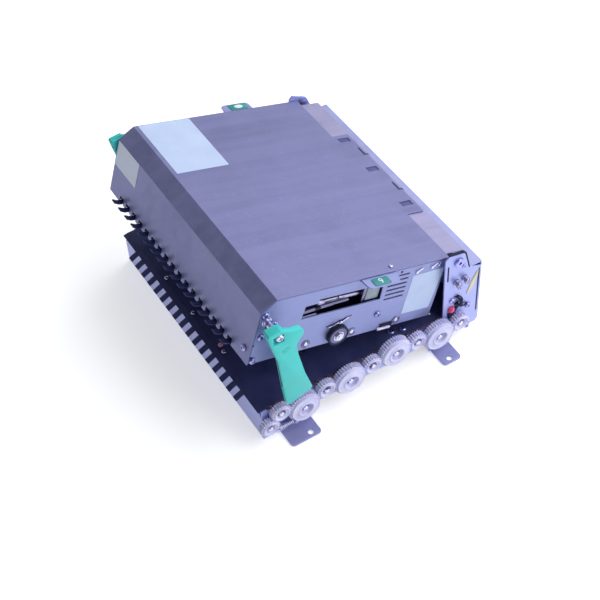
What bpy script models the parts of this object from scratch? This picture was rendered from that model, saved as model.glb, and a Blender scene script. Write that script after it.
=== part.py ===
"""Bank-note transport module of a cash machine: a sheet-metal base with a comb-edged guide deck, rollers and a
row of meshing gears, and a hinged upper unit with a folded cover, pinch rollers and a green latch handle.

Units are metres, +Z is up, +X runs along the gear row towards the hinge, and -Y is the gear side. The origin is
on the floor pan's underside, midway between the side plates. The upper unit is drawn shut and turned open about
its hinge line.
"""

import math

import bmesh
import bpy
import mathutils

GAP = 0.0003
ROUND = 12

# Base chassis
BASE_W = 0.224
BASE_RIGHT = 0.1185
BASE_D = 0.258
PLATE = 0.0015
FLOOR_T = 0.0015
WALL_H = 0.0335
BELLY_H = 0.0135
PAN_HALF_Y = 0.1145
FRONT_PLATE_H = 0.0378
BRACKET_LEFT = 0.0770
BRACKET_TOP = 0.1155
SHOULDER_H = 0.0865
COVER_FOOT = 0.025
COVER_FLANGE = 0.0157
SHEET = 0.0012

# Guide deck and its comb
DECK_TOP = 0.038
DECK_T = 0.0012
DECK_RIGHT = 0.102
DECK_HALF_Y = 0.1272
FINGER_COUNT = 17
FINGER_PITCH = 0.01237
FINGER_W = 0.0056
FIRST_FINGER_Y = -0.0998
CLAW_SHIFT = 0.0044

# Gears
MODULE = 0.0008
SMALL_TEETH = 22
LARGE_TEETH = 38
BACKLASH = 0.00013
CENTRES = MODULE * (SMALL_TEETH + LARGE_TEETH) / 2
FIRST_GEAR = (-0.0966, 0.0343)
ROW_HEIGHTS = (0.0270, 0.0343, 0.0315, 0.0343, 0.0365, 0.0343, 0.0280, 0.0305)
SMALL_FRONT = -0.1385
LARGE_FRONT = -0.1405
GEAR_BACK = -0.1312
BOSS_BACK = -0.1293
RIM_T = 0.0063
END_GEAR_ANGLE = math.radians(228)

# Tension spring under the first gears
SPRING_ENDS = ((-0.0985, -0.1335, 0.0105), (-0.0845, -0.1335, 0.0105))

# Rollers
SHAFT_R = 0.0025
CORE_R = 0.0014
SLEEVE_R = 0.0022
ROLLER_TOP = 0.0389
ROLLER_LEN = 0.018
ROLLER_YS = (-0.084, -0.028, 0.028, 0.084)

# Hinge line, opening angle, and the upper unit when it is shut
HINGE = mathutils.Vector((0.091, 0.0, 0.104))
OPEN_ANGLE = math.radians(17)
UPPER_LEFT = -0.0934
UPPER_TOP = 0.1064
UPPER_D = 0.250
UPPER_SHIFT = 0.002
COVER_T = 0.001
CHAMFER = (-0.013, -0.0113)
PANEL_FOOT = (-0.0145, -0.067)
UPPER_DEPTH = 0.0664
TOP_RIGHT = 0.178
TONGUE_RIGHT = 0.196
TONGUE_HALF = 0.062
GRIP_FRONT = (0.0833, 0.1182)
GRIP_REAR = (0.0970, 0.1288)
PLATE_RIGHT = 0.177
EAR_R = {-1: 0.0055, 1: 0.0042}
PIN_R = 0.002
PIN_HEAD_R = {-1: 0.0046, 1: 0.0032}

# Latch
LATCH = (-0.0062, -0.0202)
LATCH_SHAFT_R = 0.003
HANDLE_DEPTH = {-1: 0.0050, 1: 0.0034}
BLOCK_DEPTH = 0.0092
HANDLE_FACE = {-1: 0.0231, 1: 0.0080}
HANDLE_WALL = 0.0022

# Guide wheel on the gear side of the upper unit
WHEEL = (0.0726, -0.0565)
WHEEL_R = 0.0102

# Link rod behind the window in the upper front plate: its radius, and its line's Y and Z with the unit shut
ROD_R = 0.0024
ROD_LINE = (-UPPER_D / 2 + 0.0085, UPPER_TOP - 0.0235)

PARTS = None
CUTTERS = None
HINGED_CUTTERS = ("cover_cuts", "cover_slots", "pinch_windows", "carrier_bore")


# ---------------------------------------------------------------- scene and materials

def clear_scene():
    """Remove every object, then make one collection for the parts and one for the cutters."""
    global PARTS, CUTTERS
    for obj in list(bpy.data.objects):
        bpy.data.objects.remove(obj, do_unlink=True)
    PARTS = bpy.data.collections.new("note_transport_module")
    CUTTERS = bpy.data.collections.new("cutters")
    for collection in (PARTS, CUTTERS):
        bpy.context.scene.collection.children.link(collection)


def finish(name, colour, roughness, metallic):
    """A Principled material."""
    mat = bpy.data.materials.new(name)
    mat.use_nodes = True
    shader = mat.node_tree.nodes["Principled BSDF"]
    shader.inputs["Base Color"].default_value = (*colour, 1.0)
    shader.inputs["Roughness"].default_value = roughness
    shader.inputs["Metallic"].default_value = metallic
    return mat


def make_finishes():
    """The finishes that the pieces share, by name."""
    return {
        "steel_sheet": finish("steel_sheet", (0.42, 0.43, 0.62), 0.38, 0.9),
        "bright_plate": finish("bright_plate", (0.60, 0.62, 0.90), 0.35, 0.8),
        "black_guide": finish("black_guide", (0.012, 0.013, 0.035), 0.35, 0.1),
        "white_gear": finish("white_gear", (0.80, 0.78, 0.93), 0.45, 0.0),
        "bright_steel": finish("bright_steel", (0.62, 0.62, 0.75), 0.2, 1.0),
        "roller_rubber": finish("roller_rubber", (0.02, 0.02, 0.035), 0.7, 0.0),
        "green_plastic": finish("green_plastic", (0.06, 0.62, 0.55), 0.4, 0.0),
        "foot_steel": finish("foot_steel", (0.30, 0.30, 0.50), 0.45, 0.8),
        "red_lens": finish("red_lens", (0.85, 0.03, 0.15), 0.25, 0.0),
    }


# ---------------------------------------------------------------- shared tools

def adopt(obj, name, mat, collection=None):
    """Name an object, give it its material and put it in its collection only."""
    obj.name = name
    if mat is not None:
        obj.data.materials.append(mat)
    (collection or PARTS).objects.link(obj)
    return obj


def set_smooth(obj, degrees=32):
    """Shade round faces smooth and keep the edges of flat ones sharp."""
    obj.data.shade_smooth()
    obj.data.set_sharp_from_angle(angle=math.radians(degrees))


def box_mesh(name, boxes):
    """A mesh of separate boxes, each from its lowest to its highest corner."""
    bm = bmesh.new()
    for low, high in boxes:
        made = bmesh.ops.create_cube(bm, size=1.0)["verts"]
        size = [b - a for a, b in zip(low, high)]
        centre = [(a + b) / 2 for a, b in zip(low, high)]
        bmesh.ops.scale(bm, vec=size, verts=made)
        bmesh.ops.translate(bm, vec=centre, verts=made)
    mesh = bpy.data.meshes.new(name)
    bm.to_mesh(mesh)
    bm.free()
    return mesh


def box(name, low, high, mat):
    """One box-shaped piece."""
    return adopt(bpy.data.objects.new(name, box_mesh(name, [(low, high)])), name, mat)


def cutter(obj):
    """Keep an object for cutting only."""
    obj.hide_render = True
    obj.display_type = "WIRE"
    return obj


def box_cutter(name, boxes):
    """A cutter made of separate boxes."""
    return cutter(adopt(bpy.data.objects.new(name, box_mesh(name, boxes)), name, None, CUTTERS))


def boolean(obj, other, operation="DIFFERENCE"):
    """Add an exact Boolean to a piece."""
    mod = obj.modifiers.new(other.name, "BOOLEAN")
    mod.operation = operation
    mod.solver = "EXACT"
    mod.object = other


def circle(x, y, radius, count=ROUND):
    """Points round a circle."""
    steps = (2 * math.pi * i / count for i in range(count))
    return [(x + radius * math.cos(a), y + radius * math.sin(a)) for a in steps]


def arc(x, y, radius, start, end, count):
    """Points along an arc, its ends in degrees."""
    steps = (math.radians(start + (end - start) * i / count) for i in range(count + 1))
    return [(x + radius * math.cos(a), y + radius * math.sin(a)) for a in steps]


def slab_curve(name, loops, thickness):
    """A 2D curve whose first loop is the outline and whose others are holes, extruded about its own plane."""
    curve = bpy.data.curves.new(name, "CURVE")
    curve.dimensions = "2D"
    curve.fill_mode = "BOTH"
    curve.extrude = thickness / 2
    for loop in loops:
        spline = curve.splines.new("POLY")
        spline.points.add(len(loop) - 1)
        for point, (x, y) in zip(spline.points, loop):
            point.co = (x, y, 0.0, 1.0)
        spline.use_cyclic_u = True
    return curve


def upright(name, loops, y_low, y_high, mat, collection=None):
    """A plate that stands in the XZ plane between two Y values, from loops of (x, z) points."""
    obj = bpy.data.objects.new(name, slab_curve(name, loops, y_high - y_low))
    obj.rotation_euler = (math.pi / 2, 0, 0)
    obj.location = (0, (y_low + y_high) / 2, 0)
    return adopt(obj, name, mat, collection)


def level(name, loops, z_low, z_high, mat, collection=None):
    """A plate that lies level between two Z values, from loops of (x, y) points."""
    obj = bpy.data.objects.new(name, slab_curve(name, loops, z_high - z_low))
    obj.location = (0, 0, (z_low + z_high) / 2)
    return adopt(obj, name, mat, collection)


def to_mesh(curve_obj, collection=None):
    """Turn a curve into a mesh object with welded caps, in the same place."""
    graph = bpy.context.evaluated_depsgraph_get()
    mesh = bpy.data.meshes.new_from_object(curve_obj.evaluated_get(graph))
    bm = bmesh.new()
    bm.from_mesh(mesh)
    bmesh.ops.remove_doubles(bm, verts=bm.verts, dist=1e-6)
    bm.to_mesh(mesh)
    bm.free()
    name = curve_obj.name
    place = curve_obj.matrix_world.copy()
    bpy.data.objects.remove(curve_obj, do_unlink=True)
    obj = bpy.data.objects.new(name, mesh)
    obj.matrix_world = place
    (collection or PARTS).objects.link(obj)
    return obj


def turned(name, profile, x, z, steps, mat, collection=None):
    """A turned piece on an axis along Y. The profile holds (radius, y) pairs from the +Y end to the -Y end."""
    bm = bmesh.new()
    points = [bm.verts.new((radius, 0.0, y)) for radius, y in profile]
    for first, second in zip(points, points[1:]):
        bm.edges.new((first, second))
    mesh = bpy.data.meshes.new(name)
    bm.to_mesh(mesh)
    bm.free()
    obj = adopt(bpy.data.objects.new(name, mesh), name, mat, collection)
    screw = obj.modifiers.new("turn", "SCREW")
    screw.steps = steps
    screw.render_steps = steps
    screw.use_merge_vertices = True
    screw.merge_threshold = 1e-5
    obj.rotation_euler = (-math.pi / 2, 0, 0)
    obj.location = (x, 0, z)
    return obj


def solid_profile(sections):
    """A closed profile from (radius, y) points of the outer side, its ends drawn in to the axis."""
    return [(0.0, sections[0][1]), *sections, (0.0, sections[-1][1])]


def parent_to(objects, empty):
    """Hang pieces on an empty, keeping the place that each one has."""
    bpy.context.view_layer.update()
    for obj in objects:
        place = obj.matrix_world.copy()
        obj.parent = empty
        obj.matrix_parent_inverse = empty.matrix_world.inverted()
        obj.matrix_world = place


def axis_empty(name, x, y, z):
    """An empty on a joint's axis."""
    empty = bpy.data.objects.new(name, None)
    empty.location = (x, y, z)
    PARTS.objects.link(empty)
    return empty


# ---------------------------------------------------------------- gear row

def gear_row():
    """Centres of the nine gears along the row, small and large in turn, each pair at the meshing distance."""
    centres = [FIRST_GEAR]
    for height in ROW_HEIGHTS:
        x, z = centres[-1]
        centres.append((x + math.sqrt(CENTRES ** 2 - (height - z) ** 2), height))
    return centres


def end_gear_centre():
    """Centre of the gear below the first one, which has as many teeth."""
    reach = MODULE * SMALL_TEETH
    x, z = FIRST_GEAR
    return (x + reach * math.cos(END_GEAR_ANGLE), z + reach * math.sin(END_GEAR_ANGLE))


def next_phase(centre, teeth, phase, other, other_teeth):
    """Angle of a tooth on the second gear that leaves it in mesh with the first."""
    along = math.atan2(other[1] - centre[1], other[0] - centre[0])
    share = (along - phase) * teeth / (2 * math.pi)
    return along + math.pi - (0.5 - share) * 2 * math.pi / other_teeth


def gear_phases(centres):
    """Tooth angles along the row, starting from a tooth that points right on the first gear."""
    phases = [0.0]
    for i in range(1, len(centres)):
        teeth = (SMALL_TEETH, LARGE_TEETH)
        phases.append(next_phase(centres[i - 1], teeth[(i - 1) % 2], phases[-1], centres[i], teeth[i % 2]))
    return phases


def tooth_outline(teeth, phase):
    """Outline of a spur gear as straight-flanked teeth, four points to a tooth."""
    pitch_r = MODULE * teeth / 2
    tip_r = pitch_r + 0.80 * MODULE
    root_r = pitch_r - 1.20 * MODULE
    slope = math.tan(math.radians(20))
    half = math.pi * MODULE / 4 - BACKLASH / 2
    at_tip = (half - (tip_r - pitch_r) * slope) / tip_r
    at_root = (half + (pitch_r - root_r) * slope) / root_r
    points = []
    for i in range(teeth):
        middle = phase + 2 * math.pi * i / teeth
        for radius, turn in ((root_r, -at_root), (tip_r, -at_tip), (tip_r, at_tip), (root_r, at_root)):
            points.append((radius * math.cos(middle + turn), radius * math.sin(middle + turn)))
    return points


def gear(name, centre, teeth, phase, hub, mat):
    """A moulded spur gear: a toothed rim joined to a turned hub. The hub is a closed (radius, y) profile."""
    x, z = centre
    outline = [(x + px, z + pz) for px, pz in tooth_outline(teeth, phase)]
    rim = to_mesh(upright(name, [outline, circle(x, z, 0.0045, ROUND)], GEAR_BACK - RIM_T, GEAR_BACK, None))
    rim.data.materials.append(mat)
    rim.name = name
    boolean(rim, cutter(turned(name + "_hub", hub, x, z, ROUND, None, CUTTERS)), "UNION")
    return rim


def small_hub():
    """Profile of a small gear's hub: a boss at each end round a bore."""
    bore = SHAFT_R + GAP
    return [(bore, BOSS_BACK), (0.0055, BOSS_BACK), (0.0055, SMALL_FRONT), (bore, SMALL_FRONT), (bore, BOSS_BACK)]


def large_hub():
    """Profile of a large gear's hub: a boss behind and a deep cup round the stud in front."""
    bore = SHAFT_R + GAP
    return [
        (bore, BOSS_BACK), (0.0065, BOSS_BACK), (0.0082, LARGE_FRONT), (0.0066, LARGE_FRONT),
        (0.0058, LARGE_FRONT + 0.0030), (bore, LARGE_FRONT + 0.0030), (bore, BOSS_BACK),
    ]


def drive_shaft(name, centre, mat):
    """A shaft that carries a small gear and runs through both side plates."""
    x, z = centre
    shoulder = BASE_D / 2 - 0.010
    return turned(name, solid_profile([
        (SHAFT_R, 0.1305), (SHAFT_R, shoulder), (CORE_R, shoulder), (CORE_R, -shoulder), (SHAFT_R, -shoulder),
        (SHAFT_R, SMALL_FRONT + 0.0004),
    ]), x, z, ROUND, mat)


def idler_stud(name, centre, front, mat, flanged=True):
    """A stud in the front plate that a gear turns on, with a flange against the inside of the plate."""
    x, z = centre
    inner = -BASE_D / 2 + PLATE + GAP
    start = [(0.0042, inner + 0.0022), (0.0042, inner), (SHAFT_R, inner)] if flanged else [(SHAFT_R, inner - 2 * GAP)]
    return turned(name, solid_profile(start + [
        (SHAFT_R, front + 0.0007), (SHAFT_R - 0.0005, front + 0.0002),
    ]), x, z, ROUND, mat)


def feed_rollers(name, centre, band_ys, mat):
    """One moulded sleeve round a drive shaft, with roller bands at band_ys that rise through the deck."""
    x, z = centre
    inner = CORE_R + GAP
    sleeve = SLEEVE_R
    band = ROLLER_TOP - z
    end = ROLLER_YS[-1] + ROLLER_LEN / 2 + 0.006
    half = ROLLER_LEN / 2
    profile = [(inner, end), (sleeve, end)]
    for y in reversed(band_ys):
        profile += [(sleeve, y + half), (band, y + half), (band, y - half), (sleeve, y - half)]
    profile += [(sleeve, -end), (inner, -end), (inner, end)]
    return turned(name, profile, x, z, ROUND, mat)


# ---------------------------------------------------------------- base chassis

def plate_outline(tab_x):
    """Outline of a base side plate: a low strip that rises at the hinge end into a bracket.

    With tab_x, a tab stands up from the strip round the gear stud that is too high for it. Without it, the strip's
    outer corner is cut away.
    """
    left, right = -BASE_W / 2, BASE_RIGHT - SHEET - GAP
    ear_x, ear_z = HINGE.x, HINGE.z
    corner = [(left + 0.0120, FRONT_PLATE_H), (left, 0.0270)]
    crown = [(ear_x + 0.0060, ear_z + 0.0018), (ear_x + 0.0042, ear_z + 0.0040)]
    tab = []
    if tab_x is not None:
        crown = [(ear_x + 0.0068, ear_z + 0.0062), (ear_x + 0.0050, ear_z + 0.0078)]
        corner = [(left, FRONT_PLATE_H)]
        tab = [(tab_x + 0.0075, FRONT_PLATE_H), (tab_x + 0.0055, 0.0418), (tab_x - 0.0055, 0.0418),
               (tab_x - 0.0075, FRONT_PLATE_H)]
    return [
        (left, 0.0), (-0.0625, 0.0), (-0.0575, BELLY_H), (0.0590, BELLY_H), (0.0635, 0.0), (0.0860, 0.0),
        (0.0905, 0.0113), (right - 0.0030, 0.0113), (right, 0.0150), (right, SHOULDER_H - 0.002),
        (ear_x + 0.0118, SHOULDER_H + 0.003), *crown,
        (ear_x - 0.0100, BRACKET_TOP), (BRACKET_LEFT, BRACKET_TOP - 0.0035), (BRACKET_LEFT, FRONT_PLATE_H), *tab,
        *corner,
    ]


def base_plate(name, side, holes, tab_x, mat):
    """A base side plate at -Y (side -1) or +Y (side 1), bored for the shafts, the studs and the hinge pin."""
    outer, inner = side * BASE_D / 2, side * (BASE_D / 2 - PLATE)
    loops = [plate_outline(tab_x)] + [circle(x, z, radius, ROUND) for x, z, radius in holes]
    return upright(name, loops, min(outer, inner), max(outer, inner), mat)


def left_wall(mat):
    """The end wall under the comb, notched at its front top corner."""
    x, half = -BASE_W / 2, BASE_D / 2 - PLATE - GAP
    outline = [
        (-half, 0.0), (half, 0.0), (half, WALL_H - 0.004), (half - 0.006, WALL_H), (-half + 0.004, WALL_H),
        (-half, WALL_H - 0.005),
    ]
    obj = bpy.data.objects.new("base_left_wall", slab_curve("base_left_wall", [outline], SHEET))
    obj.rotation_euler = (math.pi / 2, 0, math.pi / 2)
    obj.location = (x + SHEET / 2, 0, 0)
    return adopt(obj, "base_left_wall", mat)


def right_wall(mat):
    """The inner end wall at the hinge end, narrowed at its foot where the side plates are cut away."""
    x, half = BASE_RIGHT - 0.0016 - GAP, BASE_D / 2 - PLATE - GAP
    low, belly = PAN_HALF_Y, BELLY_H + 0.0040
    outline = [(-low, 0.002), (low, 0.002), (low, belly), (half, belly), (half, 0.078), (-half, 0.078),
               (-half, belly), (-low, belly)]
    obj = bpy.data.objects.new("base_right_wall", slab_curve("base_right_wall", [outline], SHEET))
    obj.rotation_euler = (math.pi / 2, 0, math.pi / 2)
    obj.location = (x - SHEET / 2, 0, 0)
    return adopt(obj, "base_right_wall", mat)


def right_cover(mat):
    """The outer cover at the hinge end: a folded sheet with a level flange along its top."""
    outer, inner = BASE_RIGHT, BASE_RIGHT - SHEET
    top = SHOULDER_H + 0.0015
    profile = [
        (inner, COVER_FOOT), (outer, COVER_FOOT), (outer, top), (outer - COVER_FLANGE, top),
        (outer - COVER_FLANGE, top - SHEET), (inner, top - SHEET),
    ]
    return upright("base_right_cover", [profile], -BASE_D / 2 + PLATE + GAP, BASE_D / 2 - PLATE - GAP, mat)


def floor_pan(mat):
    """The level pan between the end walls."""
    half = PAN_HALF_Y
    left, right = -BASE_W / 2 + SHEET + GAP, BASE_RIGHT - 0.0016 - SHEET - 2 * GAP
    return box("base_floor_pan", (left, -half, 0.0), (right, half, FLOOR_T), mat)


def foot(name, x_low, x_high, hole_x, side, mat):
    """A mounting foot: a level tab with a screw hole outside the side plate and a short leg up the plate."""
    root = BASE_D / 2 + GAP
    tip = BASE_D / 2 + 0.0220
    corner = 0.0035
    tab = [(x_low, side * (root + 0.0005))] + [
        (px, side * py) for px, py in arc(x_low + corner, tip - corner, corner, 180, 90, 4)
        + arc(x_high - corner, tip - corner, corner, 90, 0, 4)
    ] + [(x_high, side * (root + 0.0005))]
    hole = circle(hole_x, side * (BASE_D / 2 + 0.0169), 0.0026, 16)
    piece = to_mesh(level(name, [tab, hole], 0.0, 0.0016, None))
    piece.name = name
    piece.data.materials.append(mat)
    low, high = sorted((side * root, side * (root + 0.0016)))
    leg = box_cutter(name + "_leg", [((x_low + 0.002, low, 0.0004), (x_high - 0.002, high, 0.009))])
    boolean(piece, leg, "UNION")
    return piece


def tie_rod(name, x, z, mat):
    """A round spacer rod across the base, its turned-down ends held in both brackets."""
    inner = BASE_D / 2 - PLATE - GAP
    outer = BASE_D / 2 + GAP
    return turned(name, solid_profile([
        (0.0030, outer + 0.003), (0.0030, outer), (0.0017, outer), (0.0017, inner), (0.0026, inner),
        (0.0026, -inner), (0.0017, -inner), (0.0017, -outer), (0.0030, -outer), (0.0030, -outer - 0.006),
    ]), x, z, ROUND, mat)


def comb_sheet(name, rows, main_rows, finger_ys, half_y, thickness, mat):
    """A bent guide sheet with a comb of fingers.

    The rows are (x, z) points from the far edge to the finger tips. The first main_rows rows span the whole
    depth, and the rest belong to the fingers alone.
    """
    lines = [-half_y]
    for y in finger_ys:
        lines += [y - FINGER_W / 2, y + FINGER_W / 2]
    lines.append(half_y)
    bm = bmesh.new()
    bmesh.ops.create_grid(bm, x_segments=len(rows) - 1, y_segments=len(lines) - 1, size=1.0)
    bm.verts.ensure_lookup_table()
    for vert in bm.verts:
        i = round((vert.co.x + 1) / 2 * (len(rows) - 1))
        j = round((vert.co.y + 1) / 2 * (len(lines) - 1))
        vert.co = (rows[i][0], lines[j], rows[i][1])
    edge_x = rows[main_rows - 1][0]
    spare = []
    for face in bm.faces:
        middle = face.calc_center_median()
        between = not any(abs(middle.y - y) < FINGER_W / 2 for y in finger_ys)
        if middle.x < edge_x and between:
            spare.append(face)
    bmesh.ops.delete(bm, geom=spare, context="FACES")
    bmesh.ops.recalc_face_normals(bm, faces=bm.faces)
    if sum(face.normal.z for face in bm.faces) < 0:
        bmesh.ops.reverse_faces(bm, faces=bm.faces)
    mesh = bpy.data.meshes.new(name)
    bm.to_mesh(mesh)
    bm.free()
    obj = adopt(bpy.data.objects.new(name, mesh), name, mat)
    solid = obj.modifiers.new("thickness", "SOLIDIFY")
    solid.thickness = thickness
    solid.offset = -1.0
    solid.use_even_offset = True
    return obj


def finger_ys():
    """Y of each comb finger, from the gear side to the far side."""
    return [FIRST_FINGER_Y + i * FINGER_PITCH for i in range(FINGER_COUNT)]


def lower_guide(drives, mat):
    """The black guide deck, its left edge a comb of drooping fingers, with windows over the raised feed rollers."""
    left = -BASE_W / 2
    rows = [
        (DECK_RIGHT, DECK_TOP), (left + 0.0030, DECK_TOP), (left - 0.0024, DECK_TOP - 0.0010),
        (left - 0.0065, DECK_TOP - 0.0030), (left - 0.0103, DECK_TOP - 0.0050),
    ]
    deck = comb_sheet("lower_guide_plate", rows, 3, finger_ys(), DECK_HALF_Y - 0.0004, DECK_T, mat)
    windows = []
    for x, _ in drives[1:]:
        for y in ROLLER_YS:
            half_y = ROLLER_LEN / 2 + 0.0015
            windows.append(((x - 0.0062, y - half_y, DECK_TOP - 0.006), (x + 0.0062, y + half_y, DECK_TOP + 0.004)))
    boolean(deck, box_cutter("roller_windows", windows))
    return deck


def idler_spring(mat):
    """A tension spring below the first gears, as one closed coil."""
    turns, radius, wire, per_turn = 5, 0.0036, 0.0005, 8
    start, end = mathutils.Vector(SPRING_ENDS[0]), mathutils.Vector(SPRING_ENDS[1])
    curve = bpy.data.curves.new("idler_spring", "CURVE")
    curve.dimensions = "3D"
    curve.bevel_depth = wire
    curve.bevel_resolution = 0
    curve.use_fill_caps = True
    spline = curve.splines.new("POLY")
    count = turns * per_turn
    spline.points.add(count)
    for i, point in enumerate(spline.points):
        angle = 2 * math.pi * i / per_turn
        place = start.lerp(end, i / count)
        point.co = (place.x, place.y + radius * math.cos(angle) * 0.6, place.z + radius * math.sin(angle), 1.0)
    return adopt(bpy.data.objects.new("idler_spring", curve), "idler_spring", mat)


def spring_post(name, x, mat):
    """A headed post in the front plate that holds one end of the tension spring."""
    face = -BASE_D / 2 - GAP
    return turned(name, solid_profile([
        (0.0012, face), (0.0012, face - 0.0062), (0.0019, face - 0.0062), (0.0019, face - 0.0072),
    ]), x, SPRING_ENDS[0][2], 10, mat)


def sensor_lens(mat):
    """The round red lens on the front bracket."""
    face = -BASE_D / 2 - GAP
    return turned("sensor_lens", solid_profile([
        (0.0032, face), (0.0032, face - 0.0022), (0.0022, face - 0.0032),
    ]), 0.0854, 0.0454, ROUND, mat)


# ---------------------------------------------------------------- upper unit, drawn shut

def upper_point(x, z):
    """A point of the upper unit's section, from its top left fold, in the base's frame with the unit shut."""
    return (UPPER_LEFT + x, UPPER_TOP + z)


def upper_points(points):
    """Several section points at once."""
    return [upper_point(x, z) for x, z in points]


def upper_cover(mat):
    """The folded cover: top, narrow chamfer and end panel, notched over the hinge and along the claws."""
    t = COVER_T
    profile = upper_points([
        (TONGUE_RIGHT, 0.0), (0.0, 0.0), CHAMFER, PANEL_FOOT, (PANEL_FOOT[0] + t, PANEL_FOOT[1]),
        (CHAMFER[0] + t, CHAMFER[1] - 0.4 * t), (0.35 * t, -t), (TONGUE_RIGHT, -t),
    ])
    half = UPPER_D / 2
    cover = to_mesh(upright("upper_cover", [profile], -half, half, None))
    cover.name = "upper_cover"
    cover.data.materials.append(mat)
    cuts = []

    def cut(x_low, x_high, y_low, y_high, z_low=-0.003, z_high=0.003):
        low, high = upper_point(x_low, z_low), upper_point(x_high, z_high)
        cuts.append(((low[0], y_low, low[1]), (high[0], y_high, high[1])))

    cut(TOP_RIGHT, TONGUE_RIGHT + 0.005, -half - 0.005, -TONGUE_HALF)
    cut(TOP_RIGHT, TONGUE_RIGHT + 0.005, TONGUE_HALF, half + 0.005)
    for y in (0.0542, 0.0066, -0.0479):
        cut(0.1805, 0.1925, y - 0.0032, y + 0.0032)
    for y in claw_ys():
        cut(PANEL_FOOT[0] - 0.004, PANEL_FOOT[0] + 0.006, y - 0.0034, y + 0.0034, -0.070, -0.0608)
    boolean(cover, box_cutter("cover_cuts", cuts))
    slots = []
    for y in (0.034, -0.0225):
        corners = [(0.1922, y + 0.006), (0.1922, y - 0.006), (0.1975, y - 0.006), (0.1975, y - 0.0044),
                   (0.1938, y - 0.0044), (0.1938, y + 0.006)]
        slots.append([(UPPER_LEFT + px, py) for px, py in corners])
    flat = level("cover_slots", slots, UPPER_TOP - 0.003, UPPER_TOP + 0.003, None, CUTTERS)
    boolean(cover, cutter(to_mesh(flat, CUTTERS)))
    return cover


def claw_ys():
    """Y of each claw of the upper comb."""
    return [y + CLAW_SHIFT for y in finger_ys()]


def window_outline():
    """The stepped window in the upper front plate."""
    return upper_points([(0.0303, -0.0298), (0.1115, -0.0298), (0.1105, -0.0125), (0.0446, -0.0118),
                         (0.0443, -0.0160), (0.0318, -0.0160)])


def upper_plate_outline(tab_left, tab_right, ear_r):
    """Outline of an upper side plate, inside the cover, notched for a grip tab, with an ear round the hinge."""
    inset = COVER_T + GAP
    pivot = (HINGE.x - UPPER_LEFT, HINGE.z - UPPER_TOP)
    ear = arc(pivot[0], pivot[1], ear_r, -110, 170, 12)
    return upper_points([
        (0.0006, -inset), (tab_left, -inset), (tab_left, -0.0029), (tab_right, -0.0029), (tab_right, -inset),
        (PLATE_RIGHT, -inset), *reversed(ear), (PLATE_RIGHT, -0.0130), (PLATE_RIGHT, -UPPER_DEPTH),
        (-0.0100, -UPPER_DEPTH), (PANEL_FOOT[0] + inset + 0.0002, -0.0650), (CHAMFER[0] + inset, CHAMFER[1] - 0.0005),
    ])


def upper_plate(name, side, holes, mat):
    """An upper side plate at -Y (side -1) or +Y (side 1)."""
    outer, inner = side * UPPER_D / 2, side * (UPPER_D / 2 - SHEET)
    tab_left, tab_right = GRIP_FRONT if side < 0 else GRIP_REAR
    loops = [upper_plate_outline(tab_left - 0.0008, tab_right + 0.0008, EAR_R[side])] + holes
    return upright(name, loops, min(outer, inner), max(outer, inner), mat)


def louvre_slots():
    """The six louvre slots beside the window."""
    slots = []
    for i in range(6):
        z = -0.0075 - 0.00488 * i
        left = 0.1250 if i < 2 else 0.1158
        slots.append(upper_points([(left, z - 0.0009), (0.1366, z - 0.0009), (0.1366, z + 0.0009), (left, z + 0.0009)]))
    return slots


def upper_guide(mat):
    """The black guide sheet under the upper unit, its left edge turned up into claws."""
    rows = [upper_point(x, z) for x, z in (
        (0.1740, -0.0645), (-0.0040, -0.0645), (-0.0125, -0.0650), (-0.0180, -0.0645), (-0.0225, -0.0625),
    )]
    half = UPPER_D / 2 - SHEET - GAP
    guide = comb_sheet("upper_guide_plate", rows, 3, claw_ys(), half, 0.0012, mat)
    windows = []
    for x in pinch_xs():
        for y in ROLLER_YS:
            low = (x - 0.0074, y - ROLLER_LEN / 2 - 0.0015, UPPER_TOP - 0.071)
            high = (x + 0.0074, y + ROLLER_LEN / 2 + 0.0015, UPPER_TOP - 0.063)
            windows.append((low, high))
    boolean(guide, box_cutter("pinch_windows", windows))
    return guide


def pinch_xs():
    """X of the pinch rollers, over the second, third and fourth drive shafts when the unit is shut."""
    row = gear_row()
    return [row[i][0] for i in (2, 4, 6)]


def pinch_roller(name, x, mat):
    """A pinch roller: one turned piece of shaft and four bands, its ends held in the upper side plates."""
    z = UPPER_TOP - UPPER_DEPTH + 0.0059
    end = UPPER_D / 2 + 0.0006
    half = ROLLER_LEN / 2
    sections = [(0.0020, end)]
    for y in reversed(ROLLER_YS):
        sections += [(0.0020, y + half), (0.0060, y + half), (0.0060, y - half), (0.0020, y - half)]
    sections.append((0.0020, -end))
    return turned(name, solid_profile(sections), x, z, ROUND, mat)


def hinge_plate(mat):
    """The bright stiffening sheet under the cover's right edge, which its end notches lay bare."""
    left, right = upper_point(0.1715, 0)[0], upper_point(0.1990, 0)[0]
    half = UPPER_D / 2 - 0.0062
    profile = [
        (left, UPPER_TOP - 0.0013), (right, UPPER_TOP - 0.0013), (right, UPPER_TOP - 0.0060),
        (right - 0.001, UPPER_TOP - 0.0060), (right - 0.001, UPPER_TOP - 0.0023), (left, UPPER_TOP - 0.0023),
    ]
    return upright("hinge_plate", [profile], -half, half, mat)


def grip_plate(mat):
    """The sheet under the cover whose ends stand out front and back as finger tabs."""
    half, tip = UPPER_D / 2, UPPER_D / 2 + 0.0120
    outline = []
    for side, (left, right) in ((-1, GRIP_FRONT), (1, GRIP_REAR)):
        tab = [(left, half), (left + 0.0010, tip - 0.0025), (left + 0.0035, tip), (right - 0.0035, tip),
               (right - 0.0010, tip - 0.0025), (right, half)]
        outline += [(UPPER_LEFT + x, side * y) for x, y in tab[::-side]]
    return level("grip_plate", [outline], UPPER_TOP - 0.0026, UPPER_TOP - COVER_T - GAP, mat)


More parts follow.
